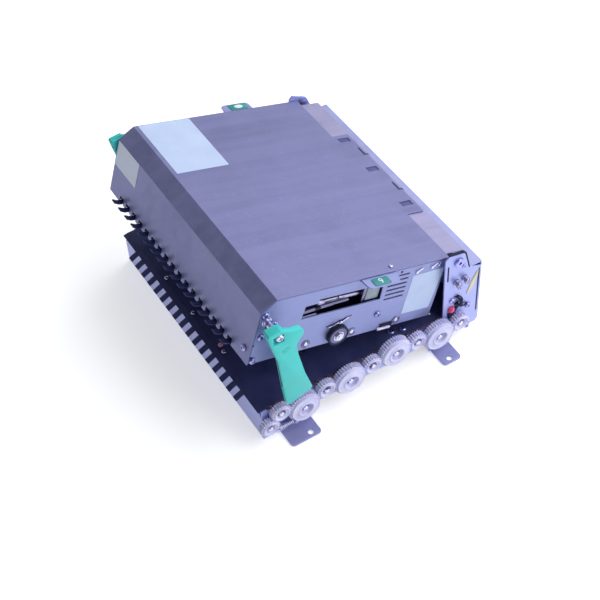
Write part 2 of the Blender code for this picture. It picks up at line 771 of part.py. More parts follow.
def hinge_pin(name, side, mat):
    """A shouldered hinge screw through a base bracket into the upper plate's ear."""
    head = BASE_D / 2 + GAP
    tail = UPPER_D / 2 + side * UPPER_SHIFT - SHEET - GAP
    head_r = PIN_HEAD_R[side]
    sections = [(head_r, head + 0.0022), (head_r, head), (PIN_R, head), (PIN_R, tail + 0.0001), (0.0033, tail),
                (0.0033, tail - 0.0020)]
    if side < 0:
        sections = [(radius, -y) for radius, y in reversed(sections)]
    return turned(name, solid_profile(sections), HINGE.x, HINGE.z, ROUND, mat)


def guide_wheel(mat):
    """The grooved wheel at the foot of the upper front plate."""
    x, z = upper_point(*WHEEL)
    back = -UPPER_D / 2 - 0.0008
    bore = SHAFT_R + GAP
    return turned("guide_wheel", [
        (bore, back), (WHEEL_R, back), (WHEEL_R, back - 0.0016), (WHEEL_R - 0.0014, back - 0.0021),
        (WHEEL_R, back - 0.0026), (WHEEL_R, back - 0.0042), (0.0062, back - 0.0042), (0.0056, back - 0.0034),
        (bore, back - 0.0034), (bore, back),
    ], x, z, 16, mat)


def wheel_stud(mat):
    """The stud that the guide wheel turns on, with its washer and nut end."""
    x, z = upper_point(*WHEEL)
    face = -UPPER_D / 2
    inner = face + SHEET + GAP
    return turned("wheel_stud", solid_profile([
        (0.0045, inner + 0.0020), (0.0045, inner), (SHAFT_R, inner), (SHAFT_R, face - 0.0046),
        (0.0042, face - 0.0046), (0.0042, face - 0.0058), (0.0020, face - 0.0058), (0.0020, face - 0.0072),
    ]), x, z, ROUND, mat)


def link_rod(mat):
    """The round rod with collars that lies behind the window, along the unit."""
    sections = [(ROD_R, 0.012), (ROD_R, 0.048), (0.0046, 0.048), (0.0046, 0.055), (ROD_R, 0.055), (ROD_R, 0.100),
                (0.0038, 0.100), (0.0038, 0.104), (ROD_R, 0.104), (ROD_R, 0.170)]
    obj = turned("link_rod", solid_profile([(radius, x) for radius, x in reversed(sections)]), 0, 0, ROUND, mat)
    obj.rotation_euler = (0, math.pi / 2, 0)
    obj.location = (UPPER_LEFT, *ROD_LINE)
    return obj


def rod_carrier(mat):
    """A channel behind the front plate whose two end cheeks hold the link rod."""
    front, back = -UPPER_D / 2 + SHEET + GAP, -UPPER_D / 2 + 0.0150
    left, right = 0.0150, 0.1660
    outline = [(left, front), (left + 0.003, front), (left + 0.003, back - 0.001), (right - 0.055, back - 0.001),
               (right - 0.055, front + 0.001), (right, front + 0.001), (right, back), (left, back)]
    low, high = upper_point(0, -0.0345)[1], upper_point(0, -0.0135)[1]
    carrier = to_mesh(level("rod_carrier", [[(UPPER_LEFT + x, y) for x, y in outline]], low, high, None))
    carrier.name = "rod_carrier"
    carrier.data.materials.append(mat)
    bore = turned("carrier_bore", solid_profile([(ROD_R + GAP, 0.200), (ROD_R + GAP, -0.010)]), 0, 0, ROUND, None, CUTTERS)
    bore.rotation_euler = (0, math.pi / 2, 0)
    bore.location = (UPPER_LEFT, *ROD_LINE)
    boolean(carrier, cutter(bore))
    return carrier


# ---------------------------------------------------------------- latch

def handle_outline():
    """Front outline of the latch handle about its shaft, as it hangs when the unit stands open."""
    ear = arc(0.0150, -0.0045, 0.0062, 62, -62, 6)
    return [
        (-0.0112, 0.0070), (-0.0100, 0.0088), (0.0005, 0.0095), (0.0050, 0.0060), (0.0105, 0.0028), *ear,
        (0.0138, -0.0165), (0.0152, -0.0300), (0.0200, -0.0560), (0.0262, -0.0785), (0.0245, -0.0812),
        (0.0040, -0.0876), (0.0012, -0.0850), (-0.0010, -0.0640), (-0.0035, -0.0280), (-0.0085, -0.0070),
    ]


def pocket_outline(points, wall):
    """The outline moved inwards by a wall's thickness."""
    inner = []
    count = len(points)
    for i, (x, z) in enumerate(points):
        before = mathutils.Vector(points[i - 1]) - mathutils.Vector((x, z))
        after = mathutils.Vector(points[(i + 1) % count]) - mathutils.Vector((x, z))
        one = mathutils.Vector((before.y, -before.x)).normalized()
        two = mathutils.Vector((-after.y, after.x)).normalized()
        middle = (one + two).normalized()
        reach = wall / max(0.35, middle.dot(two))
        inner.append((x - middle.x * reach, z - middle.y * reach))
    return inner


def latch_handle(name, side, mat):
    """A moulded latch handle: a front wall with side walls behind it, a solid block and a hub on the shaft."""
    face = UPPER_D / 2 + HANDLE_FACE[side]
    rim = face - HANDLE_DEPTH[side]
    hub = max(face - BLOCK_DEPTH, UPPER_D / 2 + 0.0022)
    outline = handle_outline()

    def span(near, far):
        return (min(side * near, side * far), max(side * near, side * far))

    low, high = span(rim, face)
    handle = to_mesh(upright(name, [outline], low, high, None))
    handle.name = name
    handle.data.materials.append(mat)
    low, high = span(rim - 0.002, face - HANDLE_WALL)
    inner = pocket_outline(outline, HANDLE_WALL)
    pocket = cutter(to_mesh(upright(name + "_pocket", [inner], low, high, None, CUTTERS), CUTTERS))
    boolean(handle, pocket)
    low, high = span(hub, face - 0.0005)
    block = [(-0.0100, 0.0068), (-0.0090, 0.0080), (0.0005, 0.0083), (0.0048, 0.0052), (0.0048, -0.0080), (-0.0078, -0.0080)]
    boss = cutter(to_mesh(upright(name + "_block", [block], low, high, None, CUTTERS), CUTTERS))
    boolean(handle, boss, "UNION")
    low, high = span(hub - 0.002, face + 0.002)
    bore = turned(name + "_bore", solid_profile([(LATCH_SHAFT_R + GAP, high), (LATCH_SHAFT_R + GAP, low)]), 0, 0, ROUND,
                  None, CUTTERS)
    boolean(handle, cutter(bore))
    return handle, (pocket, boss, bore)


def latch_shaft(mat):
    """The round shaft that joins both handles, with a collar against each upper plate."""
    front, rear = UPPER_D / 2 + HANDLE_FACE[-1] + 0.0003, UPPER_D / 2 + HANDLE_FACE[1] + 0.0003
    collar = UPPER_D / 2 + GAP
    r = LATCH_SHAFT_R
    return turned("latch_shaft", solid_profile([
        (r, rear), (r, collar + 0.0016), (0.0045, collar + 0.0016), (0.0045, collar), (r, collar), (r, -collar),
        (0.0045, -collar), (0.0045, -collar - 0.0016), (r, -collar - 0.0016), (r, -front),
    ]), 0, 0, ROUND, mat)


# ---------------------------------------------------------------- assembly

def build_base(mats):
    """All the pieces of the base, the gears and rollers among them."""
    row = gear_row()
    phases = gear_phases(row)
    drives, idlers = row[0::2], row[1::2]
    end = end_gear_centre()
    rods = ((0.0897, 0.0788), (0.0985, 0.0793))
    shaft_hole = SHAFT_R + GAP
    shared = [(x, z, shaft_hole) for x, z in drives] + [(HINGE.x, HINGE.z, PIN_R + GAP)]
    shared += [(x, z, 0.0017 + GAP) for x, z in rods]
    studs = [(x, z, shaft_hole) for x, z in idlers + [end]]

    base_plate("base_front_plate", -1, shared + studs, idlers[2][0], mats["bright_plate"])
    base_plate("base_back_plate", 1, shared, None, mats["bright_plate"])
    left_wall(mats["bright_plate"])
    right_wall(mats["bright_plate"])
    right_cover(mats["steel_sheet"])
    floor_pan(mats["steel_sheet"])
    lower_guide(drives, mats["black_guide"])
    for i, (x, z) in enumerate(rods):
        tie_rod(f"tie_rod_{i + 1}", x, z, mats["bright_steel"])
    for side, end_name in ((-1, "front"), (1, "rear")):
        foot(f"foot_{end_name}_left", -0.0960, -0.0655, -0.0745, side, mats["foot_steel"])
        foot(f"foot_{end_name}_right", 0.0650, 0.0845, 0.0738, side, mats["foot_steel"])
        hinge_pin(f"hinge_pin_{end_name}", side, mats["bright_steel"])
    idler_spring(mats["bright_steel"])
    for i, (x, _, _) in enumerate(SPRING_ENDS):
        spring_post(f"spring_post_{i + 1}", x + (0.0024 if i else -0.0024), mats["bright_steel"])
    sensor_lens(mats["red_lens"])

    for i, centre in enumerate(drives):
        pieces = [
            gear(f"drive_gear_{i + 1}", centre, SMALL_TEETH, phases[2 * i], small_hub(), mats["white_gear"]),
            drive_shaft(f"drive_shaft_{i + 1}", centre, mats["bright_steel"]),
            feed_rollers(f"feed_rollers_{i + 1}", centre, ROLLER_YS if i else (), mats["roller_rubber"]),
        ]
        parent_to(pieces, axis_empty(f"drive_axis_{i + 1}", centre[0], 0, centre[1]))
    for i, centre in enumerate(idlers):
        made = gear(f"idler_gear_{i + 1}", centre, LARGE_TEETH, phases[2 * i + 1], large_hub(), mats["white_gear"])
        clear = centre[1] + 0.0042 < DECK_TOP - DECK_T
        idler_stud(f"idler_stud_{i + 1}", centre, LARGE_FRONT + 0.0030, mats["bright_steel"], flanged=clear)
        parent_to([made], axis_empty(f"idler_axis_{i + 1}", centre[0], 0, centre[1]))
    phase = next_phase(FIRST_GEAR, SMALL_TEETH, phases[0], end, SMALL_TEETH)
    made = gear("end_gear", end, SMALL_TEETH, phase, small_hub(), mats["white_gear"])
    idler_stud("end_gear_stud", end, SMALL_FRONT, mats["bright_steel"], flanged=False)
    parent_to([made], axis_empty("end_gear_axis", end[0], 0, end[1]))


def build_upper(mats):
    """All the pieces of the upper unit, drawn shut, then turned open about the hinge line."""
    hinge = axis_empty("upper_hinge_axis", *HINGE)
    latch_at = upper_point(*LATCH)
    latch_hole = circle(*latch_at, LATCH_SHAFT_R + GAP)
    pinch_z = UPPER_TOP - UPPER_DEPTH + 0.0059
    pinch_holes = [circle(x, pinch_z, 0.0023, 12) for x in pinch_xs()]
    ear_hole = circle(HINGE.x, HINGE.z, PIN_R + GAP)
    wheel_hole = circle(*upper_point(*WHEEL), SHAFT_R + GAP)
    shared = [latch_hole, ear_hole] + pinch_holes

    pieces = [
        upper_cover(mats["steel_sheet"]),
        upper_plate("upper_front_plate", -1, shared + [wheel_hole, window_outline()] + louvre_slots(),
                    mats["bright_plate"]),
        upper_plate("upper_back_plate", 1, shared, mats["bright_plate"]),
        upper_guide(mats["black_guide"]),
        hinge_plate(mats["bright_plate"]),
        grip_plate(mats["bright_plate"]),
        guide_wheel(mats["roller_rubber"]),
        wheel_stud(mats["bright_steel"]),
        link_rod(mats["bright_steel"]),
        rod_carrier(mats["black_guide"]),
    ]
    for i, x in enumerate(pinch_xs()):
        pieces.append(pinch_roller(f"pinch_roller_{i + 1}", x, mats["roller_rubber"]))
    parent_to(pieces + [obj for obj in CUTTERS.objects if obj.name in HINGED_CUTTERS], hinge)
    hinge.rotation_euler = (0, OPEN_ANGLE, 0)
    hinge.location.y = UPPER_SHIFT
    bpy.context.view_layer.update()

    offset = mathutils.Vector((latch_at[0], 0, latch_at[1])) - HINGE
    offset.rotate(mathutils.Euler((0, OPEN_ANGLE, 0)))
    latch = axis_empty("latch_axis", 0, 0, 0)
    held = [latch_shaft(mats["bright_steel"])]
    for side, end_name in ((-1, "front"), (1, "rear")):
        handle, helpers = latch_handle(f"latch_handle_{end_name}", side, mats["green_plastic"])
        held += [handle, *helpers]
    parent_to(held, latch)
    latch.location = HINGE + offset + mathutils.Vector((0, UPPER_SHIFT, 0))


def main():
    clear_scene()
    mats = make_finishes()
    build_base(mats)
    build_upper(mats)
    bpy.context.view_layer.update()
    for obj in PARTS.objects:
        if obj.type == "MESH":
            set_smooth(obj)


main()
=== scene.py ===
"""Bank-note transport module: finishes, hardware, gears, labels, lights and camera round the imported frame.

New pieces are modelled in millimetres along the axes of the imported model, and brought to its metres when they
are fitted. Pieces of the upper unit are modelled square in its own axes, from its top left fold, and then
tilted about the hinge line with it.
"""

import logging
import math
from dataclasses import dataclass, replace
from enum import Enum

import bpy
from mathutils import Matrix, Vector


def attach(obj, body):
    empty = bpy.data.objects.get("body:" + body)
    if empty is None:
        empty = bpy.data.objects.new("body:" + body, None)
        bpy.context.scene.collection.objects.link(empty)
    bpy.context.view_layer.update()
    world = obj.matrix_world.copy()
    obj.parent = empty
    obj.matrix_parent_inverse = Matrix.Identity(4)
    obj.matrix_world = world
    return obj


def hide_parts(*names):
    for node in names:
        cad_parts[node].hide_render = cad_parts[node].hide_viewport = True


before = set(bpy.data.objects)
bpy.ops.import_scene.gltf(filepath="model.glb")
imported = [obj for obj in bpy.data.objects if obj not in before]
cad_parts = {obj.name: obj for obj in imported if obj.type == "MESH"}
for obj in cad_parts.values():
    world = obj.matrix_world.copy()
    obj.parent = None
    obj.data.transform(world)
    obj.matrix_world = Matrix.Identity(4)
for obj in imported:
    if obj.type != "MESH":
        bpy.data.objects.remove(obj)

logging.basicConfig(level=logging.INFO, format="%(message)s")
LOG = logging.getLogger("note_transport")

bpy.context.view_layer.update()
MM = 0.001

Point = tuple[float, float]
Ring = tuple[float, float]


# ------------------------------------------------------------------ places

HINGE = Vector((91.0, 0.0, 104.0))
OPEN_ANGLE = math.radians(17)
UPPER_FOLD = Vector((-93.4, -123.0, 106.4))
UPPER_MIDDLE = 125.0
BASE_FRONT = -129.0
BASE_RIGHT = 118.5
DECK_TOP = 38.0
ROLLER_YS = (-84.0, -28.0, 28.0, 84.0)
LATCH_FROM_FOLD = Vector((-6.2, UPPER_MIDDLE, -20.2))


class Seat(Enum):
    """The axes that a piece is modelled in, named for the body that carries it."""

    BASE = "base"
    UPPER = "upper"
    LATCH = "latch"

    def matrix(self) -> Matrix:
        """The move from these axes to the frame's axes, in millimetres."""
        if self is Seat.BASE:
            return Matrix.Identity(4)
        tilt = Matrix.Translation(HINGE) @ Matrix.Rotation(OPEN_ANGLE, 4, "Y") @ Matrix.Translation(-HINGE)
        if self is Seat.UPPER:
            return tilt @ Matrix.Translation(UPPER_FOLD)
        return Matrix.Translation(tilt @ (UPPER_FOLD + LATCH_FROM_FOLD))


# ------------------------------------------------------------------ node groups and finishes


class Nodes:
    """A short way to place and join shader nodes in one tree."""

    def __init__(self, tree: bpy.types.NodeTree) -> None:
        """Keep the tree.

        Args:
            tree: The node tree to work in.
        """
        self.tree = tree
        self.column = 0

    def add(self, kind: str, **values: object) -> bpy.types.Node:
        """Add a node and set its sockets and properties by name.

        Args:
            kind: The node's type name without the ShaderNode prefix.
            values: Socket values and properties; an underscore in a socket's name stands for a space.

        Returns:
            The new node.
        """
        node = self.tree.nodes.new(kind if kind.startswith("NodeGroup") else "ShaderNode" + kind)
        self.column += 1
        node.location = (self.column * 180 - 1800, -120 * (self.column % 4))
        for key, value in values.items():
            socket = node.inputs.get(key.replace("_", " "))
            if socket is not None and not hasattr(type(node), key):
                socket.default_value = value
            else:
                setattr(node, key, value)
        return node

    def link(self, source: bpy.types.NodeSocket, target: bpy.types.NodeSocket) -> None:
        """Join two sockets."""
        self.tree.links.new(source, target)

    def math(self, operation: str, first: object, second: object = 0.5) -> bpy.types.NodeSocket:
        """Add a Math node.

        Args:
            operation: The Math node's operation.
            first: A socket or a number.
            second: A socket or a number.

        Returns:
            The result's socket.
        """
        node = self.add("Math", operation=operation)
        for socket, value in zip(node.inputs, (first, second)):
            if isinstance(value, bpy.types.NodeSocket):
                self.link(value, socket)
            else:
                socket.default_value = value
        return node.outputs[0]

    def spread(self, value: bpy.types.NodeSocket, low: float, high: float, *, start: float = 0.3,
               end: float = 0.7) -> bpy.types.NodeSocket:
        """Stretch a value between two limits.

        Args:
            value: The value to stretch.
            low: The result at start.
            high: The result at end.
            start: The value that gives low.
            end: The value that gives high.

        Returns:
            The result's socket.
        """
        node = self.add("MapRange")
        self.link(value, node.inputs[0])
        for socket, number in zip(node.inputs[1:5], (start, end, low, high)):
            socket.default_value = number
        return node.outputs[0]

    def mix(self, factor: bpy.types.NodeSocket, first: object, second: object) -> bpy.types.NodeSocket:
        """Mix two colours.

        Args:
            factor: How much of the second colour shows.
            first: A colour or a colour socket.
            second: A colour or a colour socket.

        Returns:
            The mixed colour's socket.
        """
        node = self.add("Mix", data_type="RGBA")
        self.link(factor, node.inputs[0])
        for socket, value in zip((node.inputs[6], node.inputs[7]), (first, second)):
            if isinstance(value, bpy.types.NodeSocket):
                self.link(value, socket)
            else:
                socket.default_value = (*value, 1.0)
        return node.outputs[2]


class EffectLibrary:
    """Shader node groups that several finishes share, each made once."""

    def __init__(self) -> None:
        """Start with no groups made."""
        self.groups: dict[str, bpy.types.NodeTree] = {}

    def _open(self, name: str, inputs: dict[str, float],
              outputs: tuple[str, ...]) -> tuple[Nodes, object, object]:
        """Make an empty group with named sockets.

        Args:
            name: The group's name.
            inputs: Its value inputs with their defaults, besides a Vector input.
            outputs: Its value outputs.

        Returns:
            The node helper, the group's input node and its output node.
        """
        tree = bpy.data.node_groups.new(name, "ShaderNodeTree")
        tree.interface.new_socket("Vector", in_out="INPUT", socket_type="NodeSocketVector")
        for key, value in inputs.items():
            tree.interface.new_socket(
                key, in_out="INPUT", socket_type="NodeSocketFloat").default_value = value
        for key in outputs:
            tree.interface.new_socket(key, in_out="OUTPUT", socket_type="NodeSocketFloat")
        nodes = Nodes(tree)
        self.groups[name] = tree
        return nodes, nodes.add("NodeGroupInput"), nodes.add("NodeGroupOutput")

    def brushed_grain(self) -> bpy.types.NodeTree:
        """Long rolled streaks crossed by slow waves: Height for bump and Tone for colour."""
        if "brushed_grain" in self.groups:
            return self.groups["brushed_grain"]
        nodes, start, end = self._open("brushed_grain", {"Along": 14.0, "Across": 900.0}, ("Height", "Tone"))
        wander = nodes.add("TexNoise", Scale=16.0, Detail=2.0, Roughness=0.5)
        nodes.link(start.outputs["Vector"], wander.inputs["Vector"])
        parts = nodes.add("SeparateXYZ")
        nodes.link(start.outputs["Vector"], parts.inputs[0])
        bend = nodes.math("MULTIPLY", nodes.math("SUBTRACT", wander.outputs[0], 0.5), 0.010)
        across = nodes.math("ADD", parts.outputs[1], bend)
        joined = nodes.add("CombineXYZ")
        nodes.link(nodes.math("MULTIPLY", parts.outputs[0], start.outputs["Along"]), joined.inputs[0])
        nodes.link(nodes.math("MULTIPLY", across, start.outputs["Across"]), joined.inputs[1])
        nodes.link(nodes.math("MULTIPLY", parts.outputs[2], start.outputs["Across"]), joined.inputs[2])
        streaks = nodes.add("TexNoise", Scale=1.0, Detail=3.0, Roughness=0.6)
        nodes.link(joined.outputs[0], streaks.inputs["Vector"])
        slow = nodes.add("TexNoise", Scale=0.11, Detail=3.0, Roughness=0.55)
        nodes.link(joined.outputs[0], slow.inputs["Vector"])
        nodes.link(streaks.outputs[0], end.inputs["Height"])
        nodes.link(nodes.math("MULTIPLY_ADD", slow.outputs[0], 0.7), end.inputs["Tone"])
        tone = end.inputs["Tone"].links[0].from_node
        nodes.link(nodes.math("MULTIPLY", streaks.outputs[0], 0.3), tone.inputs[2])
        return self.groups["brushed_grain"]

    def handling_marks(self) -> bpy.types.NodeTree:
        """Cloudy smears and a few thin scratches left by handling: Smear and Scratch masks."""
        if "handling_marks" in self.groups:
            return self.groups["handling_marks"]
        nodes, start, end = self._open("handling_marks", {"Size": 30.0}, ("Smear", "Scratch"))
        cloud = nodes.add("TexNoise", Detail=4.0, Roughness=0.62)
        thin = nodes.add("TexNoise", Detail=1.0, Roughness=0.4, Distortion=1.2)
        for node, factor in ((cloud, 1.0), (thin, 2.4)):
            nodes.link(start.outputs["Vector"], node.inputs["Vector"])
            nodes.link(nodes.math("MULTIPLY", start.outputs["Size"], factor), node.inputs["Scale"])
        nodes.link(nodes.spread(cloud.outputs[0], 0.0, 1.0, start=0.36, end=0.66), end.inputs["Smear"])
        line = nodes.math("ABSOLUTE", nodes.math("SUBTRACT", thin.outputs[0], 0.5), 0.0)
        nodes.link(nodes.spread(line, 1.0, 0.0, start=0.0, end=0.010), end.inputs["Scratch"])
        return self.groups["handling_marks"]

    def moulded_skin(self) -> bpy.types.NodeTree:
        """The fine grain and slow shade changes of a moulded or coated skin: Height and Tone."""
        if "moulded_skin" in self.groups:
            return self.groups["moulded_skin"]
        nodes, start, end = self._open("moulded_skin", {"Grain": 1400.0}, ("Height", "Tone"))
        fine = nodes.add("TexNoise", Detail=2.0, Roughness=0.5)
        slow = nodes.add("TexNoise", Scale=45.0, Detail=3.0, Roughness=0.55)
        nodes.link(start.outputs["Vector"], fine.inputs["Vector"])
        nodes.link(start.outputs["Grain"], fine.inputs["Scale"])
        nodes.link(start.outputs["Vector"], slow.inputs["Vector"])
        nodes.link(fine.outputs[0], end.inputs["Height"])
        nodes.link(slow.outputs[0], end.inputs["Tone"])
        return self.groups["moulded_skin"]


class Texture(Enum):
    """The surface effect that a finish is built on."""

    BRUSHED = "brushed_grain"
    MOULDED = "moulded_skin"


@dataclass(frozen=True)
class Finish:
    """One surface finish and the numbers that its shader is built from."""

    name: str
    slot: str
    light: tuple[float, float, float]
    dark: tuple[float, float, float]
    roughness: float
    metallic: float = 0.0
    texture: Texture = Texture.MOULDED
    rough_spread: float = 0.10
    bump: float = 0.15
    bump_depth: float = 0.00004
    smear: float = 0.10
    scratch: float = 0.0
    mark_size: float = 30.0
    coat: float = 0.0
    turn: tuple[float, float, float] = (0.0, 0.0, 0.0)
    subsurface: float = 0.0
    tint: tuple[float, float, float] = (1.0, 1.0, 1.0)
    sheen: float = 0.5

    def build(self, effects: EffectLibrary) -> bpy.types.Material:
        """Make the material.

        Args:
            effects: The shared node groups.

        Returns:
            The material with its whole node tree.
        """
        material = bpy.data.materials.new(self.name)
        material.use_nodes = True
        tree = material.node_tree
        shader = tree.nodes["Principled BSDF"]
        nodes = Nodes(tree)
        place = nodes.add("Mapping")
        place.inputs["Rotation"].default_value = self.turn
        nodes.link(nodes.add("TexCoord").outputs["Object"], place.inputs["Vector"])
        grain = nodes.add("Group")
        grain.node_tree = getattr(effects, self.texture.value)()
        marks = nodes.add("Group")
        marks.node_tree = effects.handling_marks()
        marks.inputs["Size"].default_value = self.mark_size
        for node in (grain, marks):
            nodes.link(place.outputs[0], node.inputs["Vector"])
        tone = nodes.spread(grain.outputs["Tone"], 0.0, 1.0, start=0.32, end=0.68)
        colour = nodes.mix(tone, self.dark, self.light)
        if self.smear:
            cloudy = nodes.math("MULTIPLY", marks.outputs["Smear"], self.smear)
            colour = nodes.mix(cloudy, colour, tuple(min(1.0, c * 1.35 + 0.02) for c in self.light))
        rough = nodes.spread(
            grain.outputs["Tone"], self.roughness - self.rough_spread, self.roughness + self.rough_spread)
        rough = nodes.math("ADD", rough, nodes.math("MULTIPLY", marks.outputs["Smear"], self.smear * 0.6))
        if self.scratch:
            thin = nodes.math("MULTIPLY", marks.outputs["Scratch"], self.scratch)
            colour = nodes.mix(thin, colour, tuple(min(1.0, c * 1.8 + 0.05) for c in self.light))
            rough = nodes.math("SUBTRACT", rough, nodes.math("MULTIPLY", thin, 0.1))
        nodes.link(colour, shader.inputs["Base Color"])
        nodes.link(rough, shader.inputs["Roughness"])
        shader.inputs["Metallic"].default_value = self.metallic
        shader.inputs["Coat Weight"].default_value = self.coat
        shader.inputs["Specular Tint"].default_value = (*self.tint, 1.0)
        shader.inputs["Specular IOR Level"].default_value = self.sheen
        if self.subsurface:
            shader.inputs["Subsurface Weight"].default_value = self.subsurface
            shader.inputs["Subsurface Scale"].default_value = 0.002
        relief = nodes.add("Bump", Strength=self.bump, Distance=self.bump_depth)
        nodes.link(grain.outputs["Height"], relief.inputs["Height"])
        nodes.link(relief.outputs[0], shader.inputs["Normal"])
        return material


NIGHT_BLUE = (0.55, 0.60, 1.0)
LEVEL_GRAIN = (0.0, -OPEN_ANGLE, 0.0)
UPRIGHT_GRAIN = (math.pi / 2, 0.0, 0.0)
TILTED_GRAIN = (math.pi / 2, 0.0, -OPEN_ANGLE)

COVER_SHEET = Finish("cover_sheet", "steel_sheet", (0.215, 0.225, 0.430), (0.158, 0.168, 0.350), 0.42, 0.55,
                     Texture.BRUSHED, bump=0.25, smear=0.22, scratch=0.10, mark_size=26.0, turn=LEVEL_GRAIN)
PLATED_SHEET = Finish(
    "plated_sheet", "bright_plate", (0.42, 0.46, 0.86), (0.35, 0.39, 0.76), 0.38, 0.45, Texture.BRUSHED,
    bump=0.15, smear=0.18, scratch=0.08, mark_size=40.0, turn=UPRIGHT_GRAIN)
PLATED_UPPER = replace(
    PLATED_SHEET, name="plated_upper", light=(0.27, 0.305, 0.58), dark=(0.23, 0.26, 0.52), turn=TILTED_GRAIN)
HINGE_SHEET = Finish("hinge_sheet", "bright_plate", (0.36, 0.34, 0.55), (0.30, 0.29, 0.48), 0.36, 0.6,
                     Texture.BRUSHED, bump=0.2, smear=0.15, scratch=0.06, mark_size=40.0, turn=LEVEL_GRAIN)
OUTER_COVER = Finish("outer_cover", "steel_sheet", (0.42, 0.45, 0.78), (0.34, 0.37, 0.68), 0.42, 0.4,
                     Texture.BRUSHED, bump=0.2, smear=0.15, mark_size=40.0)
COATED_GUIDE = Finish(
    "coated_guide", "black_guide", (0.048, 0.054, 0.165), (0.032, 0.037, 0.125), 0.38, bump=0.12, smear=0.05,
    scratch=0.03, mark_size=22.0, tint=NIGHT_BLUE, sheen=0.40)
# Near black for the black parts, and painted shade: the same finish fills holes, slots, gaps and window
# backings whose insides are in shade.
BLACK_AND_PAINTED_SHADE = Finish("black_and_painted_shade", "black_guide", (0.010, 0.011, 0.040), (0.005, 0.006, 0.022), 0.5,
                     smear=0.06, tint=NIGHT_BLUE, sheen=0.3)
GEAR_WHITE = Finish("gear_white", "white_gear", (0.72, 0.72, 0.98), (0.60, 0.60, 0.89), 0.42, bump=0.10,
                    smear=0.10, mark_size=60.0, subsurface=0.15)
TURNED_STEEL = Finish(
    "turned_steel", "bright_steel", (0.70, 0.69, 0.86), (0.50, 0.49, 0.66), 0.20, 1.0, Texture.BRUSHED,
    rough_spread=0.06, bump=0.2, smear=0.1, mark_size=90.0)
BLUED_SCREW = Finish("blued_screw", "bright_steel", (0.42, 0.42, 0.78), (0.28, 0.27, 0.58), 0.24, 1.0,
                     rough_spread=0.06, bump=0.1, smear=0.12, mark_size=120.0)
ROLLER_RUBBER = Finish(
    "roller_rubber_skin", "roller_rubber", (0.024, 0.025, 0.058), (0.014, 0.015, 0.038), 0.62, bump=0.3,
    bump_depth=0.0001, smear=0.08, mark_size=60.0, tint=NIGHT_BLUE, sheen=0.35)
STAND_STEEL = replace(
    TURNED_STEEL, name="stand_steel", light=(0.46, 0.46, 0.64), dark=(0.30, 0.30, 0.46), roughness=0.34)
# Painted shade: the slate blue of the shaded insides of the cover's windows.
SLATE_PAINTED_SHADE = Finish("slate_painted_shade", "bright_plate", (0.075, 0.085, 0.270), (0.060, 0.068, 0.220), 0.50, 0.0,
                     bump=0.1, smear=0.10, mark_size=60.0)
DARK_STEEL = Finish("dark_steel", "bright_steel", (0.22, 0.22, 0.36), (0.12, 0.12, 0.22), 0.34, 1.0,
                    Texture.BRUSHED, rough_spread=0.06, bump=0.2, smear=0.12, mark_size=90.0)
WHEEL_GREY = Finish("wheel_grey", "roller_rubber", (0.20, 0.20, 0.36), (0.13, 0.13, 0.26), 0.42, 0.5,
                    smear=0.15, mark_size=80.0)
HANDLE_GREEN = Finish(
    "handle_green", "green_plastic", (0.050, 0.620, 0.600), (0.036, 0.540, 0.530), 0.40, bump=0.10,
    smear=0.06, mark_size=50.0)
FOOT_ZINC = Finish("foot_zinc", "foot_steel", (0.40, 0.41, 0.68), (0.32, 0.33, 0.58), 0.44, 0.5,
                   Texture.BRUSHED, bump=0.2, smear=0.2, scratch=0.12, mark_size=50.0)
LENS_RED = Finish("lens_red", "red_lens", (0.80, 0.05, 0.22), (0.62, 0.02, 0.14), 0.22, coat=0.5, smear=0.0)
LENS_PINK = replace(LENS_RED, name="lens_pink", light=(0.80, 0.34, 0.50), dark=(0.70, 0.26, 0.42))
LABEL_STOCK = Finish("label_stock", "white_gear", (0.52, 0.63, 0.88), (0.46, 0.57, 0.84), 0.5, bump=0.06,
                     smear=0.12, mark_size=35.0)
# Painted light: a brighter copy of the label stock for the end panel's label, making up for the shade on the
# left-facing panel.
PANEL_STOCK_PAINTED_LIGHT = replace(LABEL_STOCK, name="panel_stock_painted_light", light=(0.76, 0.84, 1.00), dark=(0.70, 0.79, 1.00))
TAG_GREEN = Finish(
    "tag_green", "green_plastic", (0.012, 0.27, 0.27), (0.009, 0.22, 0.23), 0.35, bump=0.05, smear=0.04)
TAG_FIGURE = Finish(
    "tag_figure", "white_gear", (0.75, 0.85, 0.92), (0.66, 0.78, 0.86), 0.45, bump=0.03, smear=0.0)
# Painted shade: the dark brown of the front plate's top flange where the upper unit shades it, with scratches
# and smears.
FLANGE_PAINTED_SHADE = Finish("flange_painted_shade", "black_guide", (0.105, 0.070, 0.150), (0.055, 0.036, 0.090), 0.45, 0.2,
                    bump=0.2, smear=0.25, scratch=0.2, mark_size=70.0)
FILM_AMBER = Finish(
    "film_amber", "green_plastic", (0.68, 0.62, 0.38), (0.56, 0.50, 0.30), 0.3, coat=0.3, smear=0.1)
SMOKE_GREY = Finish(
    "smoke_grey", "white_gear", (0.30, 0.36, 0.42), (0.18, 0.22, 0.30), 0.3, coat=0.2, smear=0.15)


class Paintbox:
    """Makes each finish once and hands out its material."""

    def __init__(self) -> None:
        """Start with no materials made."""
        self.effects = EffectLibrary()
        self.made: dict[str, bpy.types.Material] = {}

    def of(self, finish: Finish) -> bpy.types.Material:
        """The material of a finish."""
        if finish.name not in self.made:
            self.made[finish.name] = finish.build(self.effects)
        return self.made[finish.name]


# ------------------------------------------------------------------ modelling moves


def deselect() -> None:
    """Deselect every object."""
    bpy.ops.object.select_all(action="DESELECT")


